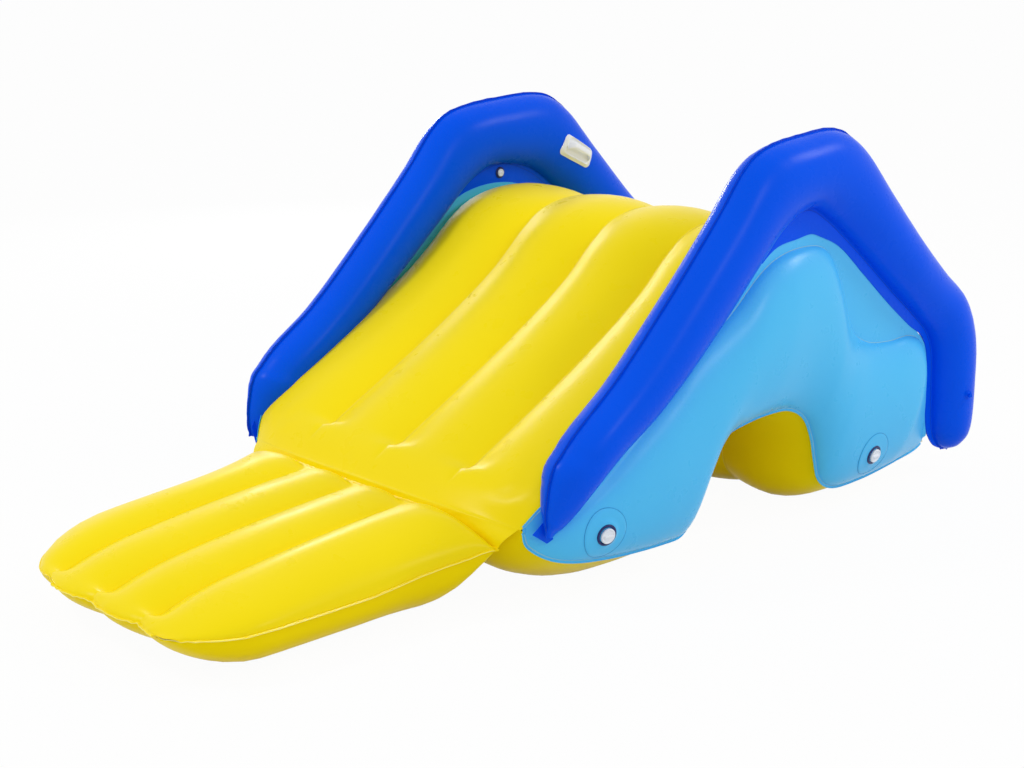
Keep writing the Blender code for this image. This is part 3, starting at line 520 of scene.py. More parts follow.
def panel_grid(sign):
    top = smooth_curve(BODY_TOP)
    bottom = smooth_curve(BODY_BOTTOM)
    border = smooth_curve(PANEL_BORDER)
    lip = bottom + path_normals(bottom, -1) * SEAM_LIP * 1.05
    shares = [0.5 - 0.5 * math.cos(math.pi * k / PANEL_STEPS) for k in range(PANEL_STEPS + 1)]
    lengths = arc_length(top)
    low_lengths = arc_length(bottom)
    flats = np.array([covered_share(h, l) for h, l in zip(top, bottom)])
    kernel = np.hanning(27)[1:-1]
    flats = np.convolve(np.pad(flats, 12, mode="edge"), kernel / kernel.sum(), "valid")
    begin = top + (bottom - top) * np.minimum(flats, 0.0)[:, None]
    rows = [in_plane(border), in_plane(border * 0.6 + begin * 0.4)]
    wave_top = waves(lengths / 0.030, 31 + sign)
    wave_low = waves(low_lengths / 0.026, 41 + sign)
    for share in shares:
        row = []
        for i, (high, low) in enumerate(zip(top, bottom)):
            flat = flats[i]
            begins = min(flat, 0.0)
            edge = max(flat, begins + 0.03)
            here = begins + (edge - begins) * min(1, share / 0.2)
            here += (1 - edge) * max(0, share - 0.2) / 0.8
            rise = 0.0
            if here > flat:
                inner = (here - flat) / (1 - flat)
                rise = panel_height(high, low, inner) * (1 - flat)
                width = np.linalg.norm(high - low)
                outer = 1 - inner
                upper_fade = math.exp(-(inner * width / 0.018) ** 2) * min(1, inner * 12)
                lower_fade = math.exp(-(outer * width / 0.020) ** 2) * min(1, outer * 12)
                rise += 0.0012 * wave_top[i] * upper_fade + 0.0014 * wave_low[i] * lower_fade
            spot = high + (low - high) * here
            row.append((max(rise, 0.0), *spot))
        rows.append(row)
    rows.append(np.concatenate([0.0008 * np.abs(wave_low)[:, None], lip], axis=1))
    grid = np.array([np.array(r) for r in rows])
    grid[..., 0] += WELD_PLANE + FILM
    if sign < 0:
        grid = mirrored(grid)
    return drawn_in(grid)


# Rails

def beyond_border(spot, line):
    start, end = line[:-1], line[1:]
    run = end - start
    share = ((spot - start) * run).sum(axis=1) / (run ** 2).sum(axis=1)
    nearest = start + run * share.clip(0, 1)[:, None]
    away = spot - nearest
    far = np.linalg.norm(away, axis=1)
    k = int(far.argmin())
    side = run[k, 0] * away[k, 1] - run[k, 1] * away[k, 0]
    return float(far[k]) if side > 0 else -float(far[k])


def free_width(start, direction, width, border):
    free = 0.0
    most = width * RAIL_MOST
    while free < most and beyond_border(start + direction * free, border) > RAIL_CLEARANCE:
        free += 0.002
    return min(free, most)


def rail_lines(side):
    shift = np.array(RAIL_SHIFT[side])
    seam = np.array(RAIL_SEAM)
    weld = np.array(RAIL_WELD)
    seam[:, 0] += shift
    weld[:, 0] += shift * 0.75
    flange = smooth_values(np.array(RAIL_FLANGE) + shift * 0.75)
    return smooth_curve(seam), smooth_curve(weld), flange


def rail_grid(side, sign, outside):
    """Outer face of half a rail tube, with its seam lip and inner flange."""
    seam, weld, flange = rail_lines(side)
    inward = weld - seam
    width = np.linalg.norm(inward, axis=1)
    inward /= width[:, None]
    outward = path_normals(seam, 1)
    lengths = arc_length(seam)
    bulge = width * RAIL_MOST
    flange = flange.copy()
    flange[lengths < RAIL_NARROW_TO] *= RAIL_NARROW
    share = np.ones(len(seam))
    if not outside:
        border = smooth_curve(PANEL_BORDER, 3)
        bulge = np.array([free_width(s, d, w, border) for s, d, w in zip(seam, inward, width)])
        bulge = np.maximum(bulge, smooth_values(RAIL_OVER_SLOPE) * width)
        kernel = np.ones(9) / 9
        bulge = np.convolve(np.pad(bulge, 4, mode="edge"), kernel, "valid")
        share = smooth_values(INNER_START + [1.0] * (len(RAIL_SEAM) - 5)).clip(0, 1)
    wave = waves(lengths / 0.030, 51 + sign)
    tip = np.exp(-(lengths / 0.16) ** 2) + 0.5 * np.exp(-((lengths[-1] - lengths) / 0.12) ** 2)
    bend = np.exp(-((lengths - lengths[len(seam) * 10 // 22]) / 0.16) ** 2)
    pucker = 0.0006 + 0.0022 * tip + 0.0010 * bend
    lip_wave = 0.0009 * wave * (0.3 + tip) * (1 if outside else -1)
    lip = seam + outward * (SEAM_LIP + 0.001 * wave[:, None])
    rows = [np.column_stack([GAP / 2 + lip_wave, lip])]
    shares = [np.zeros(len(seam))]
    rows.append(in_plane(seam + outward * 0.0015, GAP / 2))
    shares.append(np.zeros(len(seam)))
    for k in range(RAIL_STEPS + 1):
        turn = math.pi * k / RAIL_STEPS
        least = 0.004 * k / RAIL_STEPS
        across = np.maximum(bulge, least) * (1 - math.cos(turn)) / 2
        shares.append(bulge * (1 - math.cos(turn)) / 2 / width)
        thick = np.minimum(RAIL_FULLNESS * width / 2, RAIL_HALF_THICK)
        if not outside:
            fuller = 1 + 0.14 * np.exp(-(lengths / 0.40) ** 2)
            thick = np.minimum(thick * fuller, 0.95 * bulge) * share
        rise = thick * math.sin(turn)
        from_seam = across / 0.030
        rise = rise + pucker * wave * np.exp(-from_seam ** 1.6) * min(1.0, k / 2)
        spot = seam + inward * np.maximum(across, least)[:, None]
        rows.append(np.column_stack([rise.clip(0) + GAP / 2, spot]))
    rows.append(in_plane(weld, GAP / 2))
    rows.append(in_plane(weld + inward * flange[:, None], GAP / 2))
    shares += [np.ones(len(seam))] * 2
    grid = np.array(rows)
    grid[..., 0] += FILM
    if not outside:
        grid[..., 0] *= -1
    grid[..., 0] += RAIL_PLANE
    grid[..., 0] += (0.0028 if outside else 0.002) * ((-0.21 - grid[..., 1]) / 0.08).clip(0, 1)
    grid = drawn_in(grid, np.array(shares))
    return mirrored(grid) if sign < 0 else grid


# Landing mat

def mat_side(y, corner):
    flare = max(0.0, (y + 0.72) / (MAT_REAR + 0.72)) ** 2
    width = MAT_HALF_WIDTH + MAT_REAR_FLARE * flare
    front = y - MAT_FRONT
    if front < corner[1]:
        fall = (1 - front / corner[1]) ** MAT_CORNER_ROUND
        width -= corner[0] * (1 - max(0.0, 1 - fall) ** (1 / MAT_CORNER_ROUND))
    return width


def mat_rear_z(x):
    """Level of the mat's rear seam, which falls towards both corners."""
    return MAT_REAR_MIDDLE_Z - (MAT_REAR_MIDDLE_Z - MAT_REAR_Z) * ease((abs(x) - 0.25) / 0.2)


def mat_seam_z(x, y):
    rise = max(0.0, (y + 0.78) / (MAT_REAR + 0.78))
    level = MAT_SEAM_Z + (MAT_REAR_Z - MAT_SEAM_Z) * rise ** 1.3
    inside = 1 - ease((abs(x) - 0.30) / 0.10)
    reach = 0.06 + 0.09 * inside
    return level + (mat_rear_z(x) - level) * ease((1 - (MAT_REAR - y) / reach) * (1 + 0.6 * inside))


def mat_crest(y, upper):
    if upper:
        return 0.2165 + 0.058 * (y + 0.54) - 0.085 * (y + 0.54) ** 2
    return 0.0


def mat_height(x, y, left, right, upper):
    web = float(channel_dip(np.array(x), MAT_CHANNEL, 0.6))
    front = min(1.0, (y - MAT_FRONT) / (0.21 + 0.05 * web if upper else 0.23))
    lobe_end = MAT_REAR - (0.040 * web ** 1.5 if upper else 0.0)
    rear = min(1.0, max(0.0, lobe_end - y) / (0.070 if upper else 0.115))
    ends = max(0.0, 1 - (1 - front) ** 2) ** (0.5 if upper else 0.70)
    ends *= math.sqrt(max(0.0, 1 - (1 - rear) ** 2))
    reach, power = MAT_EDGE_TOP if upper else MAT_EDGE_UNDER
    inset = min(1.0, (right - x) / reach, (x - left) / reach)
    sides = max(0.0, 1 - (1 - inset) ** 2) ** power
    seam = mat_seam_z(x, y) + (GAP / 2 + FILM) * (1 if upper else -1)
    open_end = float(ease((y - MAT_FRONT - (0.010 if upper else 0.0)) / (0.05 if upper else 0.03)))
    depth = 0.030 + 0.018 * math.exp(-((y - MAT_FRONT - 0.04) / 0.06) ** 2) if upper else 0.014
    depth *= float(channel_dip(np.array(x), MAT_CHANNEL, 0.7)) * open_end
    full = mat_crest(y, upper) - seam
    if upper:
        return seam + (full - depth) * sides * ends
    return max(0.0, seam + (full + depth) * sides * ends)


def mat_grid(upper):
    front = [MAT_FRONT + step for step in MAT_FRONT_STEPS]
    rear = [MAT_REAR - step for step in MAT_REAR_STEPS]
    rows = []
    for y in front + rear:
        left, right = -mat_side(y, MAT_CORNER_LEFT), mat_side(y, MAT_CORNER_RIGHT)
        low, high = max(left + 0.02, -MAT_CHANNEL), min(right - 0.02, MAT_CHANNEL)
        columns = lobe_columns((left, low, 0.0, high, right), MAT_LOBE_STEPS)
        row = [(x, y, mat_height(x, y, left, right, upper)) for x in columns]
        row = [(left - SEAM_LIP, y, row[0][2])] + row + [(right + SEAM_LIP, y, row[-1][2])]
        rows.append(row)
    grid = np.array(rows)
    front, rear = grid[:1].copy(), grid[-1:].copy()
    front[..., 1] -= SEAM_LIP
    rear[..., 1] = MAT_REAR + 0.004
    grid = np.concatenate([front, grid, rear])
    corner = (np.abs(grid[..., 0]) / 0.45) ** 3 * ease((grid[..., 1] + 0.64) / 0.15)
    grid[..., 1] += 0.024 * corner
    nose = channel_dip(grid[..., 0], MAT_CHANNEL, 0.9) * (np.abs(grid[..., 0]) < MAT_CHANNEL * 1.5)
    grid[..., 1] += 0.016 * nose * np.exp(-((grid[..., 1] - MAT_FRONT) / 0.045).clip(0) ** 1.5)
    return mat_puckered(grid, upper)


def mat_puckered(grid, upper):
    """Small folds and an uneven line along the mat's edge seam."""
    out = grid.copy()
    upward = 1 if upper else -1
    columns = grid.shape[1]
    for c_end, inner in ((0, 1), (columns - 1, -1)):
        edge = grid[:, c_end + inner]
        along = arc_length(edge[:, 1:]) + arc_length(edge[:, :2]) * 0.5
        wave = waves(along / 0.028, 71 + c_end)
        strong = 0.35 + np.exp(-((edge[:, 1] - MAT_FRONT) / 0.16) ** 2)
        for c in (c_end, c_end + inner):
            out[:, c, 2] += 0.0016 * wave * strong
        for step in range(2, 6):
            c = c_end + inner * step
            away = np.abs(grid[:, c, 0] - edge[:, 0])
            out[:, c, 2] += upward * 0.0016 * wave * strong * np.exp(-(away / 0.016) ** 1.5)
    x = grid[0, :, 0]
    wave = waves(x / 0.030, 75)
    for r in (0, 1):
        out[r, :, 2] += 0.0022 * wave
    for r in range(2, 6):
        away = grid[r, :, 1] - MAT_FRONT
        out[r, :, 2] += upward * 0.0022 * wave * np.exp(-(away / 0.020) ** 1.5)
    out[..., 2] = np.maximum(out[..., 2], 0.0)
    return out


def hinge_grid():
    """Strip from over the toe's lip to the mat's rear seam, wider at the corners."""
    count = 97
    x = np.linspace(-0.535, 0.535, count)
    foot_x = x * (0.450 / 0.535)
    rear = np.array([mat_rear_z(v) for v in foot_x])
    pulled = 0.024 * np.abs(foot_x / 0.45) ** 3
    over, edge, drop = (
        drawn_in(np.column_stack([x, np.full(count, y), np.full(count, z)]))
        for y, z in ((-0.4690, 0.2072), (-0.4768, 0.2071), (-0.4788, 0.2052)))
    foot = np.column_stack([foot_x, MAT_REAR + 0.0050 + pulled, rear + 0.0030])
    lap = np.column_stack([foot_x, MAT_REAR + 0.0008 + pulled, rear + 0.0026])
    wide = ease((np.abs(x) - 0.36) / 0.16)
    crease = waves(x / 0.035, 91)
    rows = [over, edge]
    for share in np.linspace(0, 1, 9):
        line = drop + (foot - drop) * share
        arch = math.sin(math.pi * share)
        line[:, 1] += arch * (0.0010 * crease - 0.010 * wide)
        line[:, 2] += arch * 0.0014 * crease
        rows.append(line)
    rows.append(lap)
    return np.array(rows)


# Fittings

def surface_tree(thing):
    mesh = thing.data
    mesh.calc_loop_triangles()
    points = [v.co.copy() for v in mesh.vertices]
    return BVHTree.FromPolygons(points, [tuple(t.vertices) for t in mesh.loop_triangles])


def seat_on(tree, spot, axis, reach):
    """Frame on a skin, its Z along the axis, lifted clear within the reach."""
    normal = Vector(axis).normalized()
    across = Vector((0, 0, 1)).cross(normal).normalized()
    upward = normal.cross(across)
    hit = tree.ray_cast(Vector(spot) + normal * 0.1, -normal, 0.2)[0]
    lift = 0.0
    for k in range(24):
        turn = 2 * math.pi * k / 24
        aside = (across * math.cos(turn) + upward * math.sin(turn)) * reach
        near = tree.ray_cast(hit + aside + normal * 0.1, -normal, 0.2)[0]
        lift = max(lift, (near - hit).dot(normal))
    axes = Matrix((across, upward, normal)).transposed().to_4x4()
    return Matrix.Translation(hit + normal * lift) @ axes


def skin_under(tree, place, radius, turn):
    """Level of the skin below a point of the frame's plane, along its axis."""
    plane = place @ Vector((radius * math.cos(turn), radius * math.sin(turn), 0))
    normal = place.to_3x3() @ Vector((0, 0, 1))
    near = tree.ray_cast(plane + normal * 0.05, -normal, 0.2)[0]
    return plane, normal, (near - plane).dot(normal)


def port_disc(name, tree, place, finish):
    """Round welded patch that follows the skin and lies flat under the port."""
    radii = [0.010, 0.020, 0.028, 0.033, 0.038, 0.043, 0.048, 0.053]
    radii += [DISC_RADIUS - 0.0008, DISC_RADIUS]
    turns = 64
    rows = []
    for radius in radii:
        row = []
        flat = 1 - float(ease((radius - RING_RADIUS) / 0.012))
        for k in range(turns + 1):
            plane, normal, level = skin_under(tree, place, radius, 2 * math.pi * k / turns)
            edge = 0.0002 if radius == DISC_RADIUS else DISC_LIFT
            row.append(plane + normal * ((level + edge) * (1 - flat) + 0.0010 * flat))
        rows.append(row)
    points = [p for row in rows for p in row[:-1]]
    count = len(points)
    normal = place.to_3x3() @ Vector((0, 0, 1))
    points += [p - normal * DISC_THICK for p in points]
    faces = []
    for i in range(len(radii) - 1):
        for k in range(turns):
            j = (k + 1) % turns
            a, b = i * turns, (i + 1) * turns
            quad = (a + k, b + k, b + j, a + j)
            faces.append(quad)
            faces.append(tuple(count + c for c in reversed(quad)))
    last = (len(radii) - 1) * turns
    for k in range(turns):
        j = (k + 1) % turns
        faces.append((last + k, count + last + k, count + last + j, last + j))
        faces.append((j, count + j, count + k, k))
    return add_object(name, points, faces, finish)


def disc_outline(name, tree, place, finish):
    spots, normals = [], []
    for k in range(73):
        plane, normal, level = skin_under(tree, place, DISC_RADIUS, 2 * math.pi * k / 72)
        spots.append(plane + normal * (level + 0.0007))
        normals.append(normal)
    return bead(name, [(spots, normals)], DISC_BEAD, finish)


def lathe(name, profile, place, finish, bar=None):
    """A turned fitting about the frame's Z, with an optional grip bar on top."""
    turns = 48
    points = []
    for radius, height in profile:
        for k in range(turns):
            turn = 2 * math.pi * k / turns
            spot = Vector((radius * math.cos(turn), radius * math.sin(turn), height))
            points.append(place @ spot)
    faces = []
    count = len(profile)
    for i in range(count):
        here, after = i * turns, ((i + 1) % count) * turns
        for k in range(turns):
            j = (k + 1) % turns
            faces.append((here + k, here + j, after + j, after + k))
    if bar:
        long, wide, low, high = bar
        first = len(points)
        rings = ((low, 1.0), (high - 0.0012, 1.0), (high - 0.0003, 0.94), (high, 0.82))
        corners = 24
        for height, scale in rings:
            for k in range(corners):
                turn = 2 * math.pi * (k + 0.5) / corners
                x, y = (half / 2 * scale * math.copysign(abs(part) ** 0.35, part)
                        for half, part in ((long, math.cos(turn)), (wide, math.sin(turn))))
                points.append(place @ Vector((x, y, height)))
        faces += [tuple(reversed(face)) for face in tube_faces(first, len(rings), corners)]
    return add_object(name, points, faces, finish)


def rounded_spot(p, q, half, corner):
    """Map a point of the unit square into a rounded outline."""
    level = max(abs(p), abs(q), 1e-6)
    x, y = half[0] * p / level, half[1] * q / level
    cx, cy = half[0] - corner, half[1] - corner
    if abs(x) > cx and abs(y) > cy:
        away = Vector((abs(x) - cx, abs(y) - cy)).normalized() * corner
        x = math.copysign(cx + away.x, x)
        y = math.copysign(cy + away.y, y)
    return x * level, y * level


def handle_pieces(side, sign, tree, finish):
    """Plate with a raised rim on the rail's inner face, and the strap over it."""
    hit = tree.ray_cast(Vector((0, *HANDLE_SPOT)), Vector((sign, 0, 0)))[0]
    normal = Vector((-sign * 0.93, 0.26, 0.26)).normalized()
    run = Vector((0.0, 0.89, -0.456))
    run = (run - normal * run.dot(normal)).normalized()
    across = normal.cross(run)
    rows = []
    for i in range(PLATE_STEPS[0] + 1):
        row = []
        for j in range(PLATE_STEPS[1] + 1):
            p, q = 2 * i / PLATE_STEPS[0] - 1, 2 * j / PLATE_STEPS[1] - 1
            u, v = rounded_spot(p, q, HANDLE_HALF, HANDLE_CORNER)
            level = max(abs(p), abs(q))
            plane = hit + run * u + across * v + normal * 0.05
            near = tree.ray_cast(plane, -normal, 0.2)[0] or (plane - normal * 0.05)
            rim = 0.0042 * math.exp(-((level - 0.84) / 0.07) ** 2)
            edge = 0.0028 * (1 - max(0.0, (level - 0.93) / 0.07) ** 2)
            row.append(near + normal * (0.0014 + rim + edge))
        rows.append(row)
    behind = tuple(hit - normal * 0.1)
    plate = film("handle_base_" + side, np.array(rows), behind, finish, PLATE_THICK)
    ends = [rows[k][PLATE_STEPS[1] // 2] for k in STRAP_ENDS]
    spots = []
    for k in range(STRAP_STEPS + 1):
        t = 2 * k / STRAP_STEPS - 1
        rise = STRAP_RISE * min(1.0, 1.5 * (1 - abs(t) ** 2.4)) ** 0.8
        spots.append(ends[0].lerp(ends[1], k / STRAP_STEPS) + normal * (rise - 0.001))
    points = []
    for k, spot in enumerate(spots):
        t = abs(2 * k / STRAP_STEPS - 1)
        wide = 0.0085 + 0.0055 * t ** 3
        along = (spots[min(STRAP_STEPS, k + 1)] - spots[max(0, k - 1)]).normalized()
        out = along.cross(across).normalized()
        if out.dot(normal) < 0:
            out = -out
        points += [spot + across * wide * a + out * 0.0022 * b for a, b in STRAP_SECTION]
    faces = tube_faces(0, STRAP_STEPS + 1, len(STRAP_SECTION))
    return plate, add_object("handle_strap_" + side, points, faces, finish)


def tab_grid(side, sign):
    """Small flat tab that ends the rail's seam in front of the tube."""
    front, rear = (np.linspace(high, low, 7) for high, low in TAB_EDGES[side])
    arch = np.sin(np.pi * np.linspace(0, 1, 7))
    rows = []
    for share in np.linspace(0, 1, 6):
        line = front + (rear - front) * share
        across = TAB_X + TAB_TURN * share + TAB_BOW * arch * (1 - share)
        rows.append(np.column_stack([across, line]))
    grid = np.array(rows)
    return mirrored(grid) if sign < 0 else grid


# Finishes

def set_inputs(node, values):
    for name, value in values.items():
        node.inputs[name].default_value = value
    return node


def film_material(name, colour, deep, roughness, specular, seed):
    finish = bpy.data.materials.new(name)
    finish.use_nodes = True
    links, nodes = finish.node_tree.links, finish.node_tree.nodes
    shader = nodes["Principled BSDF"]
    set_inputs(shader, {"Roughness": roughness, "Specular IOR Level": specular})
    where = nodes.new("ShaderNodeTexCoord")

    def noise(scale, detail):
        made = set_inputs(nodes.new("ShaderNodeTexNoise"), {"Scale": scale, "Detail": detail})
        links.new(where.outputs["Object"], made.inputs["Vector"])
        return made.outputs["Fac"]

    def remap(value, limits):
        made = set_inputs(nodes.new("ShaderNodeMapRange"), limits)
        links.new(value, made.inputs["Value"])
        return made.outputs["Result"]

    def bump(height, strength, distance):
        made = nodes.new("ShaderNodeBump")
        set_inputs(made, {"Strength": strength, "Distance": distance})
        links.new(height, made.inputs["Height"])
        return made

    mix = nodes.new("ShaderNodeMix")
    mix.data_type = "RGBA"
    set_inputs(mix, {"A": (*colour, 1), "B": (*deep, 1)})
    cloud = remap(noise(3.1 + seed, 3.0), {"From Min": 0.35, "From Max": 0.75, "To Max": 0.35})
    links.new(cloud, mix.inputs["Factor"])
    links.new(mix.outputs["Result"], shader.inputs["Base Color"])
    smear = remap(noise(17.0, 4.0), {"To Min": roughness - 0.05, "To Max": roughness + 0.07})
    links.new(smear, shader.inputs["Roughness"])
    fine = bump(noise(900.0, 2.0), 0.10, 0.0003)
    soft = bump(noise(22.0, 2.0), 0.20, 0.0012)
    links.new(fine.outputs["Normal"], soft.inputs["Normal"])
    links.new(soft.outputs["Normal"], shader.inputs["Normal"])
    return finish


yellow = film_material(
    "yellow_film", (0.965, 0.765, 0.003), (0.93, 0.72, 0.002), 0.28, 0.10, 0.0)
# Copy of the yellow film for the sheets that face down. Its slightly darker colour is painted
# shade; its low specular keeps the white floor's reflection off them.
yellow_below_painted_shade = film_material(
    "yellow_underside_painted_shade", (0.955, 0.745, 0.002), (0.93, 0.71, 0.001), 0.34, 0.02, 0.1)
yellow_weld = film_material(
    "yellow_weld", (0.93, 0.76, 0.07), (0.88, 0.70, 0.05), 0.45, 0.15, 0.2)
# Pale yellow for the mat's edge weld bead: a painted highlight along the seam lip.
seam_painted_highlight = film_material(
    "seam_painted_highlight", (0.98, 0.90, 0.26), (0.96, 0.86, 0.18), 0.35, 0.3, 0.25)
light_blue = film_material(
    "light_blue_film", (0.085, 0.545, 0.94), (0.068, 0.5, 0.91), 0.28, 0.18, 0.4)
pale_weld = film_material(
    "pale_weld", (0.30, 0.60, 0.72), (0.24, 0.54, 0.68), 0.45, 0.15, 0.5)
disc_edge = film_material(
    "disc_edge", (0.035, 0.33, 0.66), (0.03, 0.30, 0.62), 0.4, 0.15, 0.55)
deep_blue = film_material(
    "deep_blue_film", (0.0002, 0.093, 0.87), (0.0001, 0.077, 0.79), 0.27, 0.06,
    0.8)
blue_weld = film_material(
    "blue_weld", (0.002, 0.040, 0.46), (0.002, 0.030, 0.38), 0.4, 0.15, 0.3)
navy = film_material(
    "navy_plastic", (0.006, 0.014, 0.13), (0.004, 0.010, 0.10), 0.32, 0.35, 0.6)
white = film_material(
    "white_plastic", (0.88, 0.91, 0.96), (0.83, 0.86, 0.91), 0.36, 0.30, 0.7)

# The body's two wrap sheets, with the weld lines along their channels
top_lips, bottom_lips = body_lips()
slope_grid, slope_columns, slope_normals = wrap_grid(
    BODY_TOP, TOP_SWELL, TOP_CHANNEL, 1, top_lips, SLOPE_LOBE_STEPS, slope_detail, CHANNEL_FROM)
slope = film("slope_film", slope_grid, (0, 0.3, 0.25), yellow)
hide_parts("slide_sheet")
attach(slope, "slide_body")
under_grid, under_columns, under_normals = wrap_grid(
    BODY_BOTTOM, UNDER_SWELL, UNDER_CHANNEL, -1, bottom_lips, UNDER_LOBE_STEPS, under_detail)
# The underside sheet wears the darker copy of the yellow: painted shade.
under = film("underside_film", under_grid, (0, 0.3, 0.45), yellow_below_painted_shade)
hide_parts("underside_sheet")
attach(under, "slide_body")


def channel_line(grid, columns, at):
    return grid[int(np.argmin(np.abs(columns - at)))]


bands = []
for grid, columns, directions, first in (
        (slope_grid, slope_columns, slope_normals, CHANNEL_FROM - 0.004),
        (under_grid, under_columns, under_normals, UNDER_WELD_FROM)):
    normals = np.column_stack([np.zeros(len(directions)), directions])
    for at in BODY_CHANNELS:
        line = channel_line(grid, columns, at)
        kept = (line[:, 1] > first) & (line[:, 1] < CHANNEL_WELD_TO)
        bands.append((line[kept] + normals[kept] * CHANNEL_BEAD_LIFT, normals[kept]))
band = bead("body_channel_welds", bands, CHANNEL_BEAD, yellow_weld)
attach(band, "slide_body")

# Inner webs, which show only where a body is cut open
for side, at in zip(WEB_NAMES, BODY_CHANNELS):
    high = channel_line(slope_grid, slope_columns, at)[BODY_WEB_ROWS] - WEB_INSET
    low = channel_line(under_grid, under_columns, at)[BODY_WEB_ROWS] + WEB_INSET
    count = min(len(high), len(low))
    web = film("body_web_" + side, np.array([high[:count], low[:count]]), None, yellow)
    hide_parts("body_baffle_" + side)
    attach(web, "slide_body")

# Side panels and rails
rail_skins = {}
for side, sign in SIDES:
    grid = panel_grid(sign)
    panel = film("panel_film_" + side, grid, (0, 0.3, 0.3), light_blue)
    panel_skin = surface_tree(panel)
    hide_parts("side_panel_" + side)
    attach(panel, "slide_body")
    face = np.array([[sign, 0, 0]] * grid.shape[1], dtype=float)
    ahead = np.array([[0, -1, 0]] * (len(grid) - 2), dtype=float)
    step = face * 0.0004
    for piece in (
            bead("panel_weld_" + side, [(grid[2] + step, face), (grid[-2] + step, face)],
                 PANEL_BEAD, pale_weld),
            bead("panel_front_lip_" + side, [(grid[2:, 0], ahead)], PANEL_FRONT_LIP, light_blue),
            bead("panel_edge_" + side, [(grid[-1] - step, face)], PANEL_LOWER_RIM, light_blue)):
        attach(piece, "slide_body")
    for half, outside in (("outer", True), ("inner", False)):
        grid = rail_grid(side, sign, outside)
        centre = (sign * RAIL_PLANE, 0.4, 0.5)
        rail = film("rail_film_%s_%s" % (side, half), grid, centre, deep_blue)
        if not outside:
            rail_skins[side] = surface_tree(rail)
        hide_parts("rail_%s_%s" % (side, half))
        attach(rail, "slide_body")
        face = np.array([[sign * (1 if outside else -1), 0, 0]] * grid.shape[1], dtype=float)
        lines = (grid[0] * 0.25 + grid[1] * 0.75, grid[0] * 0.8 + grid[1] * 0.2, grid[-2])
        stitch = bead("rail_weld_%s_%s" % (side, half), [(line, face) for line in lines],
                      RAIL_BEAD, blue_weld)
        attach(stitch, "slide_body")

# Landing mat
mat_faces = {}
bands = []
for half, upward in (("top", 1), ("bottom", -1)):
    grid = mat_grid(upward > 0)
    mat_faces[half] = grid
    # The mat's bottom sheet wears the darker copy of the yellow: painted shade.
    finish = yellow if upward > 0 else yellow_below_painted_shade
    sheet = film("mat_film_" + half, grid, (0, -0.85, 0.1), finish)
    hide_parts("mat_%s_sheet" % half)
    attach(sheet, "landing_mat")
    normals = np.array([[0, 0, upward]] * len(grid), dtype=float)
    for column in MAT_CHANNEL_COLUMNS:
        line = grid[:, column]
        kept = (line[:, 1] > MAT_FRONT + 0.035) & (line[:, 1] < MAT_REAR - 0.050)
        bands.append((line[kept] + normals[kept] * CHANNEL_BEAD_LIFT, normals[kept]))
band = bead("mat_channel_welds", bands, CHANNEL_BEAD, yellow_weld)
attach(band, "landing_mat")
for side, column in zip(WEB_NAMES, MAT_CHANNEL_COLUMNS):
    high = mat_faces["top"][MAT_WEB_ROWS, column] - WEB_INSET
    low = mat_faces["bottom"][MAT_WEB_ROWS, column] + WEB_INSET
    web = film("mat_web_" + side, np.array([high, low]), None, yellow)
    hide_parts("mat_baffle_" + side)
    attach(web, "landing_mat")

edge = (mat_faces["top"] + mat_faces["bottom"]) / 2
lines = []
for line, outward in (
        (edge[1:-3, -1], (1, 0, 0)), (edge[0, 2:-2], (0, -1, 0)), (edge[1:-3, 0], (-1, 0, 0))):
    lines.append((line, np.array([outward] * len(line), dtype=float)))
# The edge weld bead is painted pale: a painted highlight along the mat's seam.
edge_line = bead("mat_edge_weld_painted_highlight", lines, MAT_BEAD, seam_painted_highlight)
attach(edge_line, "landing_mat")

# Welded strip between the toe and the mat
strip = film("hinge_film", hinge_grid(), (0, -0.3, 0.18), yellow)
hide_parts("mat_hinge_strip")
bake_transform(strip)

# Fittings on the right panel, whose skin is the last one made, and on the rails
for name, (spot, axis) in PORT_AXES.items():
    place = seat_on(panel_skin, spot, axis, RING_RADIUS)
    disc = port_disc("port_disc_" + name, panel_skin, place, light_blue)
    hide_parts("port_%s_patch" % name)
    line = disc_outline("port_outline_" + name, panel_skin, place, disc_edge)
    ring = lathe("port_collar_" + name, RING_PROFILE, place, navy)
    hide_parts("port_%s_ring" % name)
    for piece in (disc, line, ring):
        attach(piece, "slide_body")
    cap = lathe("port_screw_cap_" + name, CAP_PROFILE, place, white, CAP_BAR)
    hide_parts("port_%s_cap" % name)
    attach(cap, name + "_port_cap")
for side, sign in SIDES:
    plate, strap = handle_pieces(side, sign, rail_skins[side], white)
    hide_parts("handle_plate_" + side)
    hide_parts("handle_grip_" + side)
    tab = film("rail_tab_" + side, tab_grid(side, sign), (0, 0.3, 0.3), deep_blue)
    for piece in (plate, strap, tab):
        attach(piece, "slide_body")

for name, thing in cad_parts.items():
    finish = yellow
    if name.endswith("_cap") or "handle" in name:
        finish = white
    elif "ring" in name:
        finish = navy
    elif "patch" in name:
        finish = light_blue
    elif "valve" in name:
        finish = deep_blue
    if thing.material_slots:
        for place in thing.material_slots:
            place.material = finish
    else:
        thing.data.materials.append(finish)

# Floor, light and camera

def shows_background(nodes, links):
    """1 for the rays that show the white background: camera, glossy, transmission."""
    path = nodes.new("ShaderNodeLightPath")
    last = path.outputs["Is Camera Ray"]
    for kind in ("Is Glossy Ray", "Is Transmission Ray"):
        most = nodes.new("ShaderNodeMath")
        most.operation = "MAXIMUM"
        links.new(last, most.inputs[0])
        links.new(path.outputs[kind], most.inputs[1])
        last = most.outputs["Value"]
    return last


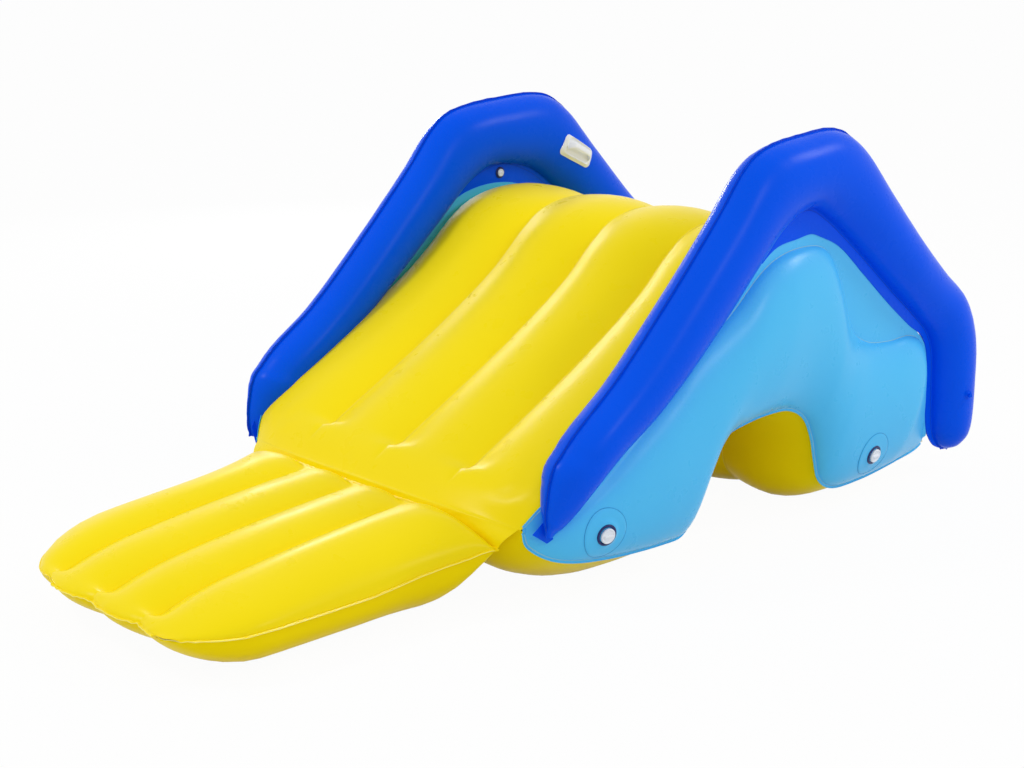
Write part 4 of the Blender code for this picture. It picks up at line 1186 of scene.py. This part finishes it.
FLOOR_HALF = 70.0
FLOOR_Z = -0.001
FLOOR_GLOW = 0.96
WORLD_LIGHT = 0.70
WHITE = (1, 1, 1, 1)
floor_mesh = bpy.data.meshes.new("floor")
corners = ((-1, -1), (1, -1), (1, 1), (-1, 1))
floor_mesh.from_pydata(
    [(x * FLOOR_HALF, y * FLOOR_HALF, FLOOR_Z) for x, y in corners], [], [(0, 1, 2, 3)])
floor = bpy.data.objects.new("floor", floor_mesh)
bpy.context.scene.collection.objects.link(floor)
floor_finish = bpy.data.materials.new("floor_finish")
floor_finish.use_nodes = True
nodes, links = floor_finish.node_tree.nodes, floor_finish.node_tree.links
matt = {"Base Color": (0.78, 0.78, 0.78, 1), "Roughness": 0.9, "Specular IOR Level": 0.1}
set_inputs(nodes["Principled BSDF"], matt)
glow = set_inputs(nodes.new("ShaderNodeEmission"), {"Color": WHITE, "Strength": 1.0})
share = nodes.new("ShaderNodeMath")
share.operation = "MULTIPLY"
share.inputs[1].default_value = FLOOR_GLOW
links.new(shows_background(nodes, links), share.inputs[0])
mix = nodes.new("ShaderNodeMixShader")
links.new(share.outputs["Value"], mix.inputs["Fac"])
links.new(nodes["Principled BSDF"].outputs["BSDF"], mix.inputs[1])
links.new(glow.outputs["Emission"], mix.inputs[2])
links.new(mix.outputs["Shader"], nodes["Material Output"].inputs["Surface"])
floor_mesh.materials.append(floor_finish)

world = bpy.data.worlds.new("studio")
bpy.context.scene.world = world
world.use_nodes = True
nodes, links = world.node_tree.nodes, world.node_tree.links
back = set_inputs(nodes["Background"], {"Color": WHITE, "Strength": WORLD_LIGHT})
seen = set_inputs(nodes.new("ShaderNodeBackground"), {"Color": WHITE, "Strength": 1.0})
mix = nodes.new("ShaderNodeMixShader")
links.new(shows_background(nodes, links), mix.inputs["Fac"])
links.new(back.outputs["Background"], mix.inputs[1])
links.new(seen.outputs["Background"], mix.inputs[2])
links.new(mix.outputs["Shader"], nodes["World Output"].inputs["Surface"])


def lamp(name, place, target, size, power):
    data = bpy.data.lights.new(name, "AREA")
    data.shape = "RECTANGLE"
    data.size, data.size_y = size
    data.energy = power
    thing = bpy.data.objects.new(name, data)
    thing.location = place
    aim = Vector(target) - Vector(place)
    thing.rotation_euler = aim.to_track_quat("-Z", "Y").to_euler()
    bpy.context.scene.collection.objects.link(thing)
    return thing


lamp("key", (-1.6, -3.0, 3.6), (0, 0, 0.3), (0.9, 0.6), 48)
lamp("side", (3.6, 0.6, 2.6), (0.4, 0.3, 0.3), (0.8, 0.6), 16)
lamp("back_right", (2.4, 3.4, 3.2), (0.5, 0.6, 0.4), (0.9, 0.9), 40)
rim_light = lamp("back_left", (-4.2, 2.4, 1.5), (0, 0.1, 0.4), (0.8, 0.8), 36)
rim_light.data.use_shadow = False

CAMERA_PLACE = (3.2778, -3.1283, 1.5543)
CAMERA_AZIMUTH = 46.172
CAMERA_ELEVATION = 14.892
LENS = 65.35
data = bpy.data.cameras.new("camera")
data.lens = LENS
data.sensor_width = 36.0
data.clip_end = 300.0
camera = bpy.data.objects.new("camera", data)
camera.location = CAMERA_PLACE
camera.rotation_euler = (math.radians(90 - CAMERA_ELEVATION), 0.0, math.radians(CAMERA_AZIMUTH))
bpy.context.scene.collection.objects.link(camera)
bpy.context.scene.camera = camera
bpy.context.scene.view_settings.view_transform = "Standard"
